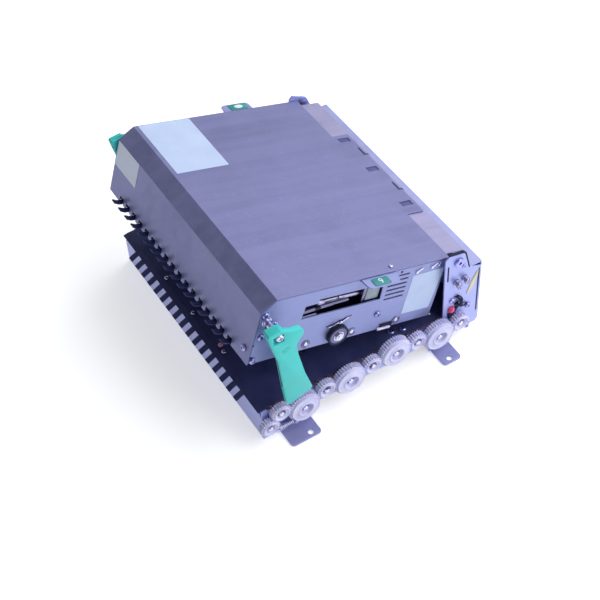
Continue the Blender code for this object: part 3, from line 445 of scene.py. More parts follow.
def turned(name: str, rings: list[Ring], segments: int = 32, closed: bool = False) -> bpy.types.Object:
    """Model a round piece about the Z axis by extruding a circle from ring to ring.

    Args:
        name: The piece's name.
        rings: (radius, height) of each ring, from the back of the piece to its front.
        segments: How many sides the circle has.
        closed: True for a ring-shaped piece, whose last ring is bridged to its first.

    Returns:
        The new object, at the origin.
    """
    deselect()
    radius, height = rings[0]
    bpy.ops.mesh.primitive_circle_add(
        vertices=segments, radius=radius, fill_type="NOTHING", location=(0, 0, 0))
    obj = bpy.context.object
    obj.name = name
    bpy.ops.object.mode_set(mode="EDIT")
    bpy.ops.mesh.select_mode(type="EDGE")
    bpy.ops.mesh.select_all(action="SELECT")
    bpy.ops.transform.translate(value=(0, 0, height))
    if not closed:
        bpy.ops.mesh.edge_face_add()
    for next_radius, next_height in rings[1:]:
        bpy.ops.mesh.extrude_edges_move(TRANSFORM_OT_translate={"value": (0, 0, next_height - height)})
        scale = next_radius / radius
        bpy.ops.transform.resize(value=(scale, scale, 1.0), center_override=(0, 0, next_height))
        radius, height = next_radius, next_height
    if closed:
        obj.update_from_editmode()
        bpy.ops.object.mode_set(mode="OBJECT")
        count = len(obj.data.vertices)
        ends = set(range(segments)) | set(range(count - segments, count))
        for edge in obj.data.edges:
            edge.select = set(edge.vertices) <= ends
        for index, vertex in enumerate(obj.data.vertices):
            vertex.select = index in ends
        bpy.ops.object.mode_set(mode="EDIT")
        bpy.ops.mesh.bridge_edge_loops()
    else:
        bpy.ops.mesh.edge_face_add()
    bpy.ops.mesh.select_all(action="SELECT")
    bpy.ops.mesh.normals_make_consistent(inside=False)
    bpy.ops.object.mode_set(mode="OBJECT")
    return obj


def block(name: str, low: tuple[float, float, float], high: tuple[float, float, float], bevel: float = 0.2,
          segments: int = 2) -> bpy.types.Object:
    """Model a box with softened edges.

    Args:
        name: The piece's name.
        low: Its lowest corner.
        high: Its highest corner.
        bevel: The width of the softened edge.
        segments: How many faces the edge is softened with.

    Returns:
        The new object.
    """
    deselect()
    size = [b - a for a, b in zip(low, high)]
    centre = [(a + b) / 2 for a, b in zip(low, high)]
    bpy.ops.mesh.primitive_cube_add(size=1.0, location=centre, scale=size)
    obj = bpy.context.object
    obj.name = name
    bpy.ops.object.transform_apply(location=True, rotation=True, scale=True)
    if bevel:
        bpy.ops.object.mode_set(mode="EDIT")
        bpy.ops.mesh.select_all(action="SELECT")
        bpy.ops.mesh.bevel(offset=bevel, segments=segments, affect="EDGES")
        bpy.ops.object.mode_set(mode="OBJECT")
    return obj


def plate(name: str, outline: list[Point], low: float, high: float, bevel: float = 0.15) -> bpy.types.Object:
    """Model a flat piece in the XY plane from its outline, with softened edges.

    Args:
        name: The piece's name.
        outline: Its corners in order.
        low: The height of its underside.
        high: The height of its upper side.
        bevel: The width of the softened edge.

    Returns:
        The new object.
    """
    deselect()
    area = sum(a[0] * b[1] - b[0] * a[1] for a, b in zip(outline, outline[1:] + outline[:1]))
    outline = outline if area > 0 else outline[::-1]
    bpy.ops.mesh.primitive_circle_add(vertices=len(outline), radius=1.0, fill_type="NGON", location=(0, 0, 0))
    obj = bpy.context.object
    obj.name = name
    for vertex, (x, y) in zip(obj.data.vertices, outline):
        vertex.co = (x, y, low)
    bpy.ops.object.mode_set(mode="EDIT")
    bpy.ops.mesh.select_all(action="SELECT")
    bpy.ops.mesh.extrude_region_move(TRANSFORM_OT_translate={"value": (0, 0, high - low)})
    bpy.ops.mesh.select_all(action="SELECT")
    bpy.ops.mesh.normals_make_consistent(inside=False)
    bpy.ops.object.mode_set(mode="OBJECT")
    if bevel:
        soften(obj, bevel)
    return obj


def soften(obj: bpy.types.Object, width: float, segments: int = 2, angle: float = 40.0) -> None:
    """Bevel the sharp edges of a piece with an applied modifier.

    Args:
        obj: The piece.
        width: The bevel's width.
        segments: How many faces it has.
        angle: Edges sharper than this many degrees are softened.
    """
    deselect()
    obj.select_set(True)
    bpy.context.view_layer.objects.active = obj
    mod = obj.modifiers.new("soften", "BEVEL")
    mod.width = width
    mod.segments = segments
    mod.limit_method = "ANGLE"
    mod.angle_limit = math.radians(angle)
    bpy.ops.object.modifier_apply(modifier=mod.name)


def cut(obj: bpy.types.Object, *tools: bpy.types.Object, join: bool = False) -> None:
    """Cut or join pieces with applied Booleans, and remove the tools.

    Args:
        obj: The piece that stays.
        tools: The pieces that it is cut by or joined with.
        join: True to join.
    """
    for tool in tools:
        deselect()
        obj.select_set(True)
        bpy.context.view_layer.objects.active = obj
        mod = obj.modifiers.new("cut", "BOOLEAN")
        mod.operation = "UNION" if join else "DIFFERENCE"
        mod.solver = "EXACT"
        mod.object = tool
        bpy.ops.object.modifier_apply(modifier=mod.name)
        bpy.data.objects.remove(tool, do_unlink=True)


def facing_front(x: float = 0.0, y: float = 0.0, z: float = 0.0, turn: float = 0.0) -> Matrix:
    """The move that turns a piece modelled along Z to face -Y at a point, after a turn about its own axis."""
    return Matrix.Translation(
        (x, y, z)) @ Matrix.Rotation(math.pi / 2, 4, "X") @ Matrix.Rotation(turn, 4, "Z")


def facing_back(x: float = 0.0, y: float = 0.0, z: float = 0.0, turn: float = 0.0) -> Matrix:
    """The move that turns a piece modelled along Z to face +Y at a point, after a turn about its own axis."""
    return Matrix.Translation((x, y, z)) @ Matrix.Rotation(math.pi, 4, "Z") @ facing_front(turn=turn)


def facing_up(x: float = 0.0, y: float = 0.0, z: float = 0.0, turn: float = 0.0) -> Matrix:
    """The move that sets a piece modelled along Z on a level place, after a turn about its own axis."""
    return Matrix.Translation((x, y, z)) @ Matrix.Rotation(turn, 4, "Z")


def rounded(low: Point, high: Point, radius: float, steps: int = 4) -> list[Point]:
    """Corners of a rectangle with rounded corners.

    Args:
        low: Its lowest corner.
        high: Its highest corner.
        radius: The corner radius.
        steps: How many sides each corner has.

    Returns:
        The corners in order.
    """
    centres = ((high[0] - radius, high[1] - radius, 0), (low[0] + radius, high[1] - radius, 90),
               (low[0] + radius, low[1] + radius, 180), (high[0] - radius, low[1] + radius, 270))
    points = []
    for x, z, start in centres:
        for i in range(steps + 1):
            angle = math.radians(start + 90 * i / steps)
            points.append((x + radius * math.cos(angle), z + radius * math.sin(angle)))
    return points


class Workshop:
    """Finishes pieces: places them, dresses them and hangs them on their bodies."""

    def __init__(self) -> None:
        """Open the paintbox and start the count."""
        self.paint = Paintbox()
        self.count = 0

    def fit(self, obj: bpy.types.Object, finish: Finish, body: str, seat: Seat = Seat.BASE,
            place: Matrix | None = None, replaces: tuple[str, ...] = ()) -> bpy.types.Object:
        """Put a finished piece in its place and hang it on its body.

        Args:
            obj: The piece, modelled in its seat's axes.
            finish: Its finish.
            body: The body that carries it.
            seat: The axes that it was modelled in.
            place: A move inside those axes, before the seat's own.
            replaces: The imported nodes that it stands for.

        Returns:
            The piece.
        """
        obj.data.transform(
            Matrix.Scale(MM, 4) @ seat.matrix() @ (place or Matrix.Identity(4)) @ obj.matrix_basis)
        obj.matrix_basis = Matrix.Identity(4)
        obj.data.materials.clear()
        obj.data.materials.append(self.paint.of(finish))
        deselect()
        obj.select_set(True)
        bpy.context.view_layer.objects.active = obj
        bpy.ops.object.shade_smooth_by_angle(angle=math.radians(35))
        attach(obj, body)
        if replaces:
            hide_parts(*replaces)
        self.count += 1
        LOG.info("%s rides on %s in %s", obj.name, body, finish.name)
        return obj

    def copy(self, pattern: bpy.types.Object, name: str) -> bpy.types.Object:
        """A copy of an unplaced pattern piece with its own mesh."""
        obj = bpy.data.objects.new(name, pattern.data.copy())
        bpy.context.scene.collection.objects.link(obj)
        return obj

    def dress(self, node: str, finish: Finish) -> None:
        """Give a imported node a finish."""
        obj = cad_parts[node]
        obj.data.materials.clear()
        obj.data.materials.append(self.paint.of(finish))
        LOG.info("%s dressed in %s", node, finish.name)


# ------------------------------------------------------------------ small hardware


@dataclass
class Hardware:
    """Screws, clips and shaft ends that are modelled once and copied to every place."""

    shop: Workshop
    pan_r: float = 3.0
    pan_h: float = 2.2
    small_r: float = 2.1
    small_h: float = 1.3
    patterns: dict = None

    def make_patterns(self) -> None:
        """Model each kind of fastener once."""
        rivet = turned("rivet_pattern", [(1.1, -0.3), (1.1, 0.2), (0.9, 0.5), (0.45, 0.62)], 20)
        self.patterns = {
            "pan": self.cross_screw("pan_pattern", self.pan_r, self.pan_h),
            "small": self.cross_screw("small_pattern", self.small_r, self.small_h), "stand": self.standoff(),
            "clip": self.e_clip(), "rivet": rivet}

    def cross_screw(self, name: str, radius: float, height: float) -> bpy.types.Object:
        """A round-headed screw with a cross recess and a washer face.

        Args:
            name: The pattern's name.
            radius: The head's radius.
            height: The head's height.

        Returns:
            The pattern, standing on the XY plane.
        """
        screw = turned(name, [
            (radius * 0.5, -0.4), (radius * 0.5, 0.02), (radius * 0.96, 0.02), (radius, 0.1),
            (radius, height * 0.45), (radius * 0.93, height * 0.72), (radius * 0.74, height * 0.92),
            (radius * 0.45, height)], 28)
        reach, half = radius * 0.56, radius * 0.13
        for size in ((reach, half), (half, reach)):
            cut(screw, block(
                "cross_cutter", (-size[0], -size[1], height * 0.45), (size[0], size[1], height * 2), 0))
        return screw

    def standoff(self) -> bpy.types.Object:
        """A long bright stud: a collar, a waisted neck and a domed end with a slot."""
        stud = turned("standoff_pattern", [
            (3.3, 0), (3.4, 0.2), (3.4, 1.3), (3.1, 1.6), (2.4, 1.7), (2.2, 2.6), (2.8, 3.0), (3.0, 3.3),
            (3.0, 5.0), (2.6, 5.6), (1.4, 5.9)], 28)
        cut(stud, block("slot_cutter", (-3.2, -0.4, 4.9), (3.2, 0.4, 7), 0))
        return stud

    def e_clip(self) -> bpy.types.Object:
        """A spring clip with three inner lips and an open mouth."""
        outline = []
        for degrees in range(-60, 241, 10):
            angle = math.radians(degrees)
            outline.append((4.3 * math.cos(angle), 4.3 * math.sin(angle)))
        for degrees in range(240, -61, -10):
            radius = 2.3 if degrees % 90 in (0, 10, 80) else 3.2
            angle = math.radians(degrees)
            outline.append((radius * math.cos(angle), radius * math.sin(angle)))
        return plate("clip_pattern", outline, 0.0, 0.6, 0.08)

    def put(self, kind: str, name: str, place: Matrix, body: str, seat: Seat = Seat.BASE,
            finish: Finish = BLUED_SCREW) -> bpy.types.Object:
        """Copy a pattern to a place.

        Args:
            kind: The pattern's key.
            name: The new piece's name.
            place: Its place in the seat's axes.
            body: The body that carries it.
            seat: The axes of its place.
            finish: Its finish.

        Returns:
            The new piece.
        """
        return self.shop.fit(self.shop.copy(self.patterns[kind], name), finish, body, seat, place)

    def clear_patterns(self) -> None:
        """Remove the patterns."""
        for obj in self.patterns.values():
            bpy.data.objects.remove(obj, do_unlink=True)


# ------------------------------------------------------------------ gears


@dataclass
class GearRow:
    """The row of white gears along the front plate, with their studs, clips and shaft ends."""

    shop: Workshop
    hardware: Hardware
    module: float = 0.8
    small_teeth: int = 22
    large_teeth: int = 38
    backlash: float = 0.13
    first: Point = (-96.6, 34.3)
    row_heights: tuple = (27.0, 34.3, 31.5, 34.3, 36.5, 34.3, 28.0, 30.5)
    end_angle: float = math.radians(228)
    boss_back: float = -129.3
    tooth_back: float = 1.9
    tooth_front: float = 7.7
    bore: float = 2.8
    clip_out: float = 7.05
    end_stud_in: float = 0.9

    def centres(self) -> list[Point]:
        """Centres of the nine gears of the row, small and large in turn."""
        spacing = self.module * (self.small_teeth + self.large_teeth) / 2
        found = [self.first]
        for height in self.row_heights:
            x, z = found[-1]
            found.append((x + math.sqrt(spacing ** 2 - (height - z) ** 2), height))
        return found

    def end_centre(self) -> Point:
        """Centre of the gear below the first one."""
        reach = self.module * self.small_teeth
        return (self.first[0] + reach * math.cos(self.end_angle),
                self.first[1] + reach * math.sin(self.end_angle))

    def next_phase(self, centre: Point, teeth: int, phase: float, other: Point, other_teeth: int) -> float:
        """Angle of a tooth on the second gear that leaves it in mesh with the first.

        Args:
            centre: The first gear's centre.
            teeth: Its number of teeth.
            phase: The angle of one of its teeth.
            other: The second gear's centre.
            other_teeth: The second gear's number of teeth.

        Returns:
            The angle in radians.
        """
        along = math.atan2(other[1] - centre[1], other[0] - centre[0])
        share = (along - phase) * teeth / (2 * math.pi)
        return along + math.pi - (0.5 - share) * 2 * math.pi / other_teeth

    def tooth_outline(self, teeth: int) -> list[Point]:
        """Outline of a gear with curved flanks, eight points to a tooth."""
        pitch_r = self.module * teeth / 2
        tip_r, root_r = pitch_r + 0.80 * self.module, pitch_r - 1.20 * self.module
        slope = math.tan(math.radians(20))
        half = math.pi * self.module / 4 - self.backlash / 2
        flank = []
        for share in (0.0, 0.25, 0.65, 1.0):
            radius = root_r + (tip_r - root_r) * share
            flank.append((radius, (half - (radius - pitch_r) * slope) / radius))
        points = []
        for i in range(teeth):
            middle = 2 * math.pi * i / teeth
            for radius, turn in [(r, -t) for r, t in flank] + flank[::-1]:
                points.append((radius * math.cos(middle + turn), radius * math.sin(middle + turn)))
        return points

    def gear(self, name: str, teeth: int, hub: list[Ring]) -> bpy.types.Object:
        """A toothed rim joined to a turned hub with a smooth front flange.

        Args:
            name: The pattern's name.
            teeth: How many teeth it has.
            hub: The hub's closed section, as (radius, height) in millimetres.

        Returns:
            The pattern, its boss on the XY plane and its front up.
        """
        rim = plate(name, self.tooth_outline(teeth), self.tooth_back, self.tooth_front, 0)
        cut(rim, turned("bore_cutter", [(4.5, 0), (4.5, 12)], 48))
        cut(rim, turned("hub", hub, 72, closed=True), join=True)
        return rim

    def small_gear(self) -> bpy.types.Object:
        """The pattern of a driven gear: a front flange round a conical recess."""
        return self.gear("small_gear_pattern", self.small_teeth, [
            (self.bore, 0), (5.3, 0), (5.5, 0.2), (5.5, 5.0), (7.3, 5.0), (7.5, 7.9), (7.5, 8.7), (7.2, 9.1),
            (6.7, 9.1), (4.3, 6.6), (4.1, 5.8), (self.bore, 5.8)])

    def large_gear(self) -> bpy.types.Object:
        """The pattern of an idler: a wide flange, a raised hub ring and a deep recess."""
        return self.gear("large_gear_pattern", self.large_teeth, [
            (self.bore, 0), (6.3, 0), (6.5, 0.2), (6.5, 5.0), (13.6, 5.0), (13.9, 7.9), (13.9, 10.0),
            (13.6, 10.4), (13.2, 10.4), (12.6, 10.0), (9.2, 10.1), (8.4, 10.4), (8.1, 11.1), (7.6, 11.3),
            (6.8, 11.2), (6.3, 10.7), (5.6, 6.6), (5.4, 6.4), (self.bore, 6.4)])

    def shaft_end(self) -> bpy.types.Object:
        """The pattern of a shaft end with one flat, as it shows in a driven gear."""
        end = turned("shaft_end_pattern", [(2.45, 0), (2.45, 8.3), (2.2, 8.7)], 32)
        cut(end, block("flat_cutter", (1.5, -4, 5), (5, 4, 12), 0))
        return end

    def stud(self) -> bpy.types.Object:
        """The pattern of an idler's stud with its groove and domed end."""
        return turned("stud_pattern", [
            (2.45, -2.0), (2.45, 7.0), (1.9, 7.0), (1.9, 7.7), (2.45, 7.7), (2.4, 9.3), (2.0, 9.7),
            (1.0, 9.85)], 32)

    def washer(self, radius: float, low: float) -> bpy.types.Object:
        """The pattern of a thin dark ring at the bottom of a hub's recess, painted shade that darkens the
        recess.

        Args:
            radius: Its outer radius in millimetres.
            low: How far it lies from the gear's back, in millimetres.

        Returns:
            The pattern.
        """
        thick = 0.4
        rings = [(2.9, low), (radius, low), (radius, low + thick), (2.9, low + thick)]
        return turned("recess_shade_pattern", rings, 40, closed=True)

    def build(self) -> None:
        """Place every gear with what holds it."""
        row, end = self.centres(), self.end_centre()
        small, large, shaft, stud = self.small_gear(), self.large_gear(), self.shaft_end(), self.stud()
        narrow, wide = self.washer(4.0, 5.9), self.washer(5.3, 6.5)
        phase = 0.0
        for i, (x, z) in enumerate(row):
            number, driven = i // 2 + 1, i % 2 == 0
            if i:
                teeth = (
                    self.large_teeth, self.small_teeth) if driven else (self.small_teeth, self.large_teeth)
                phase = self.next_phase(row[i - 1], teeth[0], phase, (x, z), teeth[1])
            body = f"drive_{number}" if driven else f"idler_{number}"
            name = f"drive_gear_{number}" if driven else f"idler_gear_{number}"
            place = facing_front(x, self.boss_back, z, phase)
            self.shop.fit(self.shop.copy(small if driven else large, name + "_moulded"), GEAR_WHITE, body,
                          place=place, replaces=(name,))
            flat = facing_front(x, self.boss_back, z, 0.7 * i)
            # The dark steel ring in the hub's recess is painted shade.
            self.shop.fit(
                self.shop.copy(narrow if driven else wide, name + "_recess_shade"), DARK_STEEL, body, place=flat)
            if driven:
                self.shop.fit(self.shop.copy(shaft, f"shaft_end_{number}"), TURNED_STEEL, body, place=flat)
            else:
                self.shop.fit(self.shop.copy(stud, f"idler_stud_turned_{number}"), TURNED_STEEL, "base",
                              place=flat, replaces=(f"idler_stud_{number}",))
                self.hardware.put("clip", f"idler_clip_{number}", facing_front(
                    x, self.boss_back - self.clip_out, z, 2.2 + i), "base")
        x, z = end
        phase = self.next_phase(self.first, self.small_teeth, 0.0, end, self.small_teeth)
        self.shop.fit(self.shop.copy(small, "end_gear_moulded"), GEAR_WHITE, "end_wheel",
                      place=facing_front(x, self.boss_back, z, phase), replaces=("end_gear",))
        self.shop.fit(
            self.shop.copy(stud, "end_gear_stud_turned"), TURNED_STEEL, "base",
            place=facing_front(x, self.boss_back + self.end_stud_in, z), replaces=("end_gear_stud",))
        for pattern in (small, large, shaft, stud, narrow, wide):
            bpy.data.objects.remove(pattern, do_unlink=True)


# ------------------------------------------------------------------ rollers, shafts and the deck


@dataclass
class FeedPath:
    """The feed shafts and rollers under the deck, and the pinch rollers over them."""

    shop: Workshop
    hardware: Hardware
    row: list
    roller_top: float = 38.9
    roller_half: float = 9.0
    pinch_height: float = -60.5

    def banded(self, name: str, thin: float, band: float, half: float, bore: float,
               places: tuple = ROLLER_YS) -> bpy.types.Object:
        """A sleeve or shaft with crowned roller bands.

        Args:
            name: The piece's name.
            thin: The radius between the bands.
            band: The bands' radius.
            half: Half of its length.
            bore: The radius of its bore, or 0 for a solid piece.
            places: The bands' middles along it.

        Returns:
            The piece along Z, its middle at the origin.
        """
        rings = [(thin, -half)]
        for y in places:
            low, high, edge = y - self.roller_half, y + self.roller_half, 0.5
            rings += [(thin, low), (band - edge * 0.6, low), (band, low + edge), (band, high - edge),
                      (band - edge * 0.6, high), (thin, high)]
        rings.append((thin, half))
        if bore:
            rings += [(bore, half), (bore, -half)]
        return turned(name, rings, 32, closed=bool(bore))

    def build(self) -> None:
        """Place the shafts, the feed rollers and the pinch rollers."""
        for number, (x, z) in enumerate(self.row[0::2], 1):
            core = turned(f"drive_shaft_turned_{number}", [
                (2.5, -130.5), (2.5, -119), (1.4, -119), (1.4, 119), (2.5, 119), (2.5, 130.5)], 28)
            self.shop.fit(core, TURNED_STEEL, f"drive_{number}", place=facing_front(x, 0, z),
                          replaces=(f"drive_shaft_{number}",))
            sleeve = self.banded(f"feed_rollers_turned_{number}", 2.2, self.roller_top - z, 99, 1.7,
                                 ROLLER_YS if number > 1 else ())
            self.shop.fit(sleeve, ROLLER_RUBBER, f"drive_{number}", place=facing_front(x, 0, z),
                          replaces=(f"feed_rollers_{number}",))
        for number, i in enumerate((2, 4, 6), 1):
            place = facing_front(self.row[i][0] - UPPER_FOLD.x, UPPER_MIDDLE, self.pinch_height)
            core = turned(f"pinch_shaft_turned_{number}", [
                (1.6, -125.6), (2.0, -125.2), (2.0, 125.2), (1.6, 125.6)], 24)
            self.shop.fit(core, TURNED_STEEL, f"pinch_{number}", Seat.UPPER, place,
                          replaces=(f"pinch_roller_{number}",))
            bands = self.banded(f"pinch_bands_{number}", 2.6, 6.0, 98, 2.05)
            self.shop.fit(bands, ROLLER_RUBBER, f"pinch_{number}", Seat.UPPER, place)
            self.hardware.put("clip", f"pinch_clip_{number}", facing_front(
                self.row[i][0] - UPPER_FOLD.x, -0.02, self.pinch_height, 0.9 * number), "upper", Seat.UPPER,
                              DARK_STEEL)


@dataclass
class DeckTrim:
    """The dark strip of painted shade on the front plate's top flange, its bright clips, the sensors and the
    screws on the guide deck.
    """

    shop: Workshop
    hardware: Hardware
    row: list
    strip_left: float = -106.5
    strip_right: float = 76.5
    strip_front: float = -129.6
    strip_back: float = -125.6

    def build(self) -> None:
        """Place the trim."""
        gap = self.row[5][0]
        for number, (low, high) in enumerate(((self.strip_left, gap - 8.0), (gap + 8.0, self.strip_right)), 1):
            # A dark strip over the flange's bright plate: painted shade cast by the upper unit.
            rail = plate(f"flange_shade_strip_{number}", self.strip_outline(low, high), 0.0, 0.45, 0.1)
            self.shop.fit(rail, FLANGE_PAINTED_SHADE, "base", place=facing_up(0, 0, DECK_TOP + 0.1))
        for number, (x, _) in enumerate(self.row[0::2], 1):
            for side in (-1, 1):
                self.hardware.put(
                    "rivet", f"flange_rivet_{number}_{'left' if side < 0 else 'right'}",
                    facing_up(x + side * 5.2, -127.6, DECK_TOP + 0.55), "base", finish=TURNED_STEEL)
        for number, (x, y) in enumerate(((29.7, -116.5), (40.5, -119.5), (-105.5, -53.1), (-106.3, 1.9),
                                         (-106.1, 53.4), (70.0, -117.0), (70.0, 115.0)), 1):
            front = number < 3
            self.hardware.put(
                "pan" if front else "small", f"deck_screw_{number}", facing_up(x, y, DECK_TOP, 0.3 * number),
                "base", finish=BLUED_SCREW if front else TURNED_STEEL)
        for number, (x, y) in enumerate(((93.0, 0.0), (-104.0, -44.5)), 1):
            eye = turned(f"deck_sensor_{number}", [(2.4, -0.2), (2.4, 0.3), (2.0, 0.6), (1.0, 0.75)], 28)
            self.shop.fit(eye, LENS_RED if x > 0 else LENS_PINK, "base", place=facing_up(x, y, DECK_TOP))

    def strip_outline(self, low: float, high: float) -> list[Point]:
        """Outline of one painted shade strip, with shallow notches along its back edge.

        Args:
            low: Its left end.
            high: Its right end.

        Returns:
            The corners in order.
        """
        points = [(low, self.strip_front), (high, self.strip_front), (high, self.strip_back)]
        count = max(2, int((high - low) / 12.0))
        for i in range(count, 0, -1):
            x = low + (high - low) * (i - 0.5) / count
            points += [(x + 2.2, self.strip_back), (x + 1.6, self.strip_back - 0.9),
                       (x - 1.6, self.strip_back - 0.9), (x - 2.2, self.strip_back)]
        points.append((low, self.strip_back))
        return points


# ------------------------------------------------------------------ base chassis


@dataclass
class BaseChassis:
    """What is fixed to the base: spring, posts, lens, rods, hinge screws, wires and bracket trim."""

    shop: Workshop
    hardware: Hardware
    spring_from: tuple = (-98.5, -133.5, 10.5)
    spring_to: tuple = (-84.5, -133.5, 10.5)
    spring_r: float = 3.4
    wire_r: float = 0.45
    rods: tuple = ((89.7, 78.8), (98.5, 79.3))
    lens_at: Point = (85.4, 45.4)
    bracket_screws: tuple = (
        (85.9, 56.8), (95.8, 50.5), (94.0, 69.3), (97.2, 95.6), (104.0, 40.0), (104.0, 12.0))

    def tube(self, name: str, points: list[tuple], radius: float, smooth: bool = True) -> bpy.types.Object:
        """A round wire along a smooth line, turned into a mesh.

        Args:
            name: The piece's name.
            points: The points that it follows.
            radius: The wire's radius.
            smooth: False to keep straight pieces between the points.

        Returns:
            The new mesh object.
        """
        deselect()
        curve = bpy.data.curves.new(name, "CURVE")
        curve.dimensions = "3D"
        curve.bevel_depth = radius
        curve.bevel_resolution = 3
        curve.resolution_u = 6
        curve.use_fill_caps = True
        spline = curve.splines.new("NURBS" if smooth else "POLY")
        spline.points.add(len(points) - 1)
        for point, place in zip(spline.points, points):
            point.co = (*place, 1.0)
        if smooth:
            spline.order_u = 4
            spline.use_endpoint_u = True
        obj = bpy.data.objects.new(name, curve)
        bpy.context.scene.collection.objects.link(obj)
        obj.select_set(True)
        bpy.context.view_layer.objects.active = obj
        bpy.ops.object.convert(target="MESH")
        bpy.ops.object.mode_set(mode="EDIT")
        bpy.ops.mesh.select_all(action="SELECT")
        bpy.ops.mesh.remove_doubles(threshold=1e-3)
        bpy.ops.object.mode_set(mode="OBJECT")
        return bpy.context.object

    def spring(self) -> None:
        """The tension spring under the first gears, with a post at each end."""
        start, end = Vector(self.spring_from), Vector(self.spring_to)
        points = []
        turns, steps = 9, 14
        for i in range(turns * steps + 1):
            angle = 2 * math.pi * i / steps
            place = start.lerp(end, i / (turns * steps))
            points.append((place.x, place.y + self.spring_r * 0.6 * math.cos(angle),
                           place.z + self.spring_r * math.sin(angle)))
        self.shop.fit(self.tube("idler_spring_wound", points, self.wire_r), TURNED_STEEL, "base",
                      replaces=("idler_spring",))
        for number, (x, side) in enumerate(((start.x - 2.4, -1), (end.x + 2.4, 1)), 1):
            post = turned(f"spring_post_turned_{number}", [
                (1.2, 0), (1.2, 3.4), (0.85, 3.6), (0.85, 5.2), (1.2, 5.4), (1.2, 6.2), (1.9, 6.2),
                (1.9, 6.9), (1.5, 7.2)], 24)
            self.shop.fit(post, TURNED_STEEL, "base", place=facing_front(x, BASE_FRONT - 0.3, start.z),
                          replaces=(f"spring_post_{number}",))

    def lens(self) -> None:
        """The red lens with its rim."""
        x, z = self.lens_at
        eye = turned("sensor_lens_moulded", [
            (3.4, 0), (3.4, 1.4), (3.1, 1.7), (2.6, 1.7), (2.5, 2.3), (1.9, 3.0), (0.9, 3.3)], 32)
        self.shop.fit(
            eye, LENS_RED, "base", place=facing_front(x, BASE_FRONT - 0.3, z), replaces=("sensor_lens",))

    def rods_and_hinges(self) -> None:
        """The tie rods with their bright ends, and the shouldered hinge screws."""
        for number, (x, z) in enumerate(self.rods, 1):
            rod = turned(f"tie_rod_turned_{number}", [
                (2.8, -132.0), (3.0, -131.6), (3.0, -129.3), (1.7, -129.3), (1.7, -127.2), (2.6, -127.2),
                (2.6, 127.2), (1.7, 127.2), (1.7, 129.3), (2.4, 129.3)], 28)
            self.shop.fit(
                rod, TURNED_STEEL, "base", place=facing_front(x, 0, z), replaces=(f"tie_rod_{number}",))
            self.hardware.put("stand", f"tie_rod_end_{number}",
                              facing_front(x, BASE_FRONT - 0.2, z, 0.5 * number), "base", finish=STAND_STEEL)
        for end, side in (("front", -1), ("rear", 1)):
            tail = 123.0 if side < 0 else 127.0
            rings = [(3.3, tail - 3.5), (3.3, tail - 1.6), (2.0, tail - 1.5), (2.0, 129.2), (4.4, 129.2),
                     (4.6, 129.4), (4.6, 131.0), (4.2, 131.5), (3.0, 131.6)]
            pin = turned(f"hinge_pin_turned_{end}", rings, 32)
            cut(pin, turned("socket_cutter", [(1.8, 129.9), (1.8, 133)], 6))
            place = (facing_front if side < 0 else facing_back)(HINGE.x, 0, HINGE.z)
            self.shop.fit(pin, BLUED_SCREW, "base", place=place, replaces=(f"hinge_pin_{end}",))

    def bracket_trim(self) -> None:
        """Screws, black strips of painted shade in the long slot, along the bracket's top edge and in the gap
        by the cover, a black connector body with painted shade round it, the wires and the amber film on the
        brackets.
        """
        for number, (x, z) in enumerate(self.bracket_screws, 1):
            self.hardware.put("small" if number in (3, 4) else "pan", f"bracket_screw_{number}",
                              facing_front(x, BASE_FRONT, z, 0.4 * number), "base")
            self.hardware.put(
                "pan", f"rear_bracket_screw_{number}", facing_back(x, -BASE_FRONT, z, 0.4 * number), "base")
        # Black strips of painted shade in the long slots, for the shade inside them.
        for name, y, turn in (("front", BASE_FRONT, facing_front), ("rear", -BASE_FRONT, facing_back)):
            shade = plate(f"bracket_slot_painted_shade_{name}", rounded((-0.8, 84.5), (0.8, 103.5), 0.75), -0.2, 0.06, 0)
            self.shop.fit(shade, BLACK_AND_PAINTED_SHADE, "base", place=turn(80.3, y, 0))
        # A black strip along the bracket's top edge: painted shade of the gap behind it.
        line = [(80.6, 115.9), (81.0, 115.9), (96.2, 112.3), (98.2, 110.6), (103.2, 89.9)]
        outer = [(x + dx, z + dz) for (x, z), (dx, dz) in zip(
            line, ((0, 0.9), (0.2, 0.9), (0.6, 0.8), (0.9, 0.5), (0.9, 0.2)))]
        strip = plate("bracket_edge_painted_shade", line + outer[::-1], 0.0, 3.0, 0.1)
        self.shop.fit(strip, BLACK_AND_PAINTED_SHADE, "base", place=facing_front(0, BASE_FRONT + 2.9, 0))
        # A black strip in the gap between the bracket and the right cover: painted shade of the gap.
        seal = plate("cover_gap_painted_shade", [
            (113.6, 26.5), (114.9, 27.0), (115.1, 82.0), (114.2, 83.5), (113.4, 70.0)], 0.0, 0.25, 0.05)
        self.shop.fit(seal, BLACK_AND_PAINTED_SHADE, "base", place=facing_front(0, BASE_FRONT, 0))
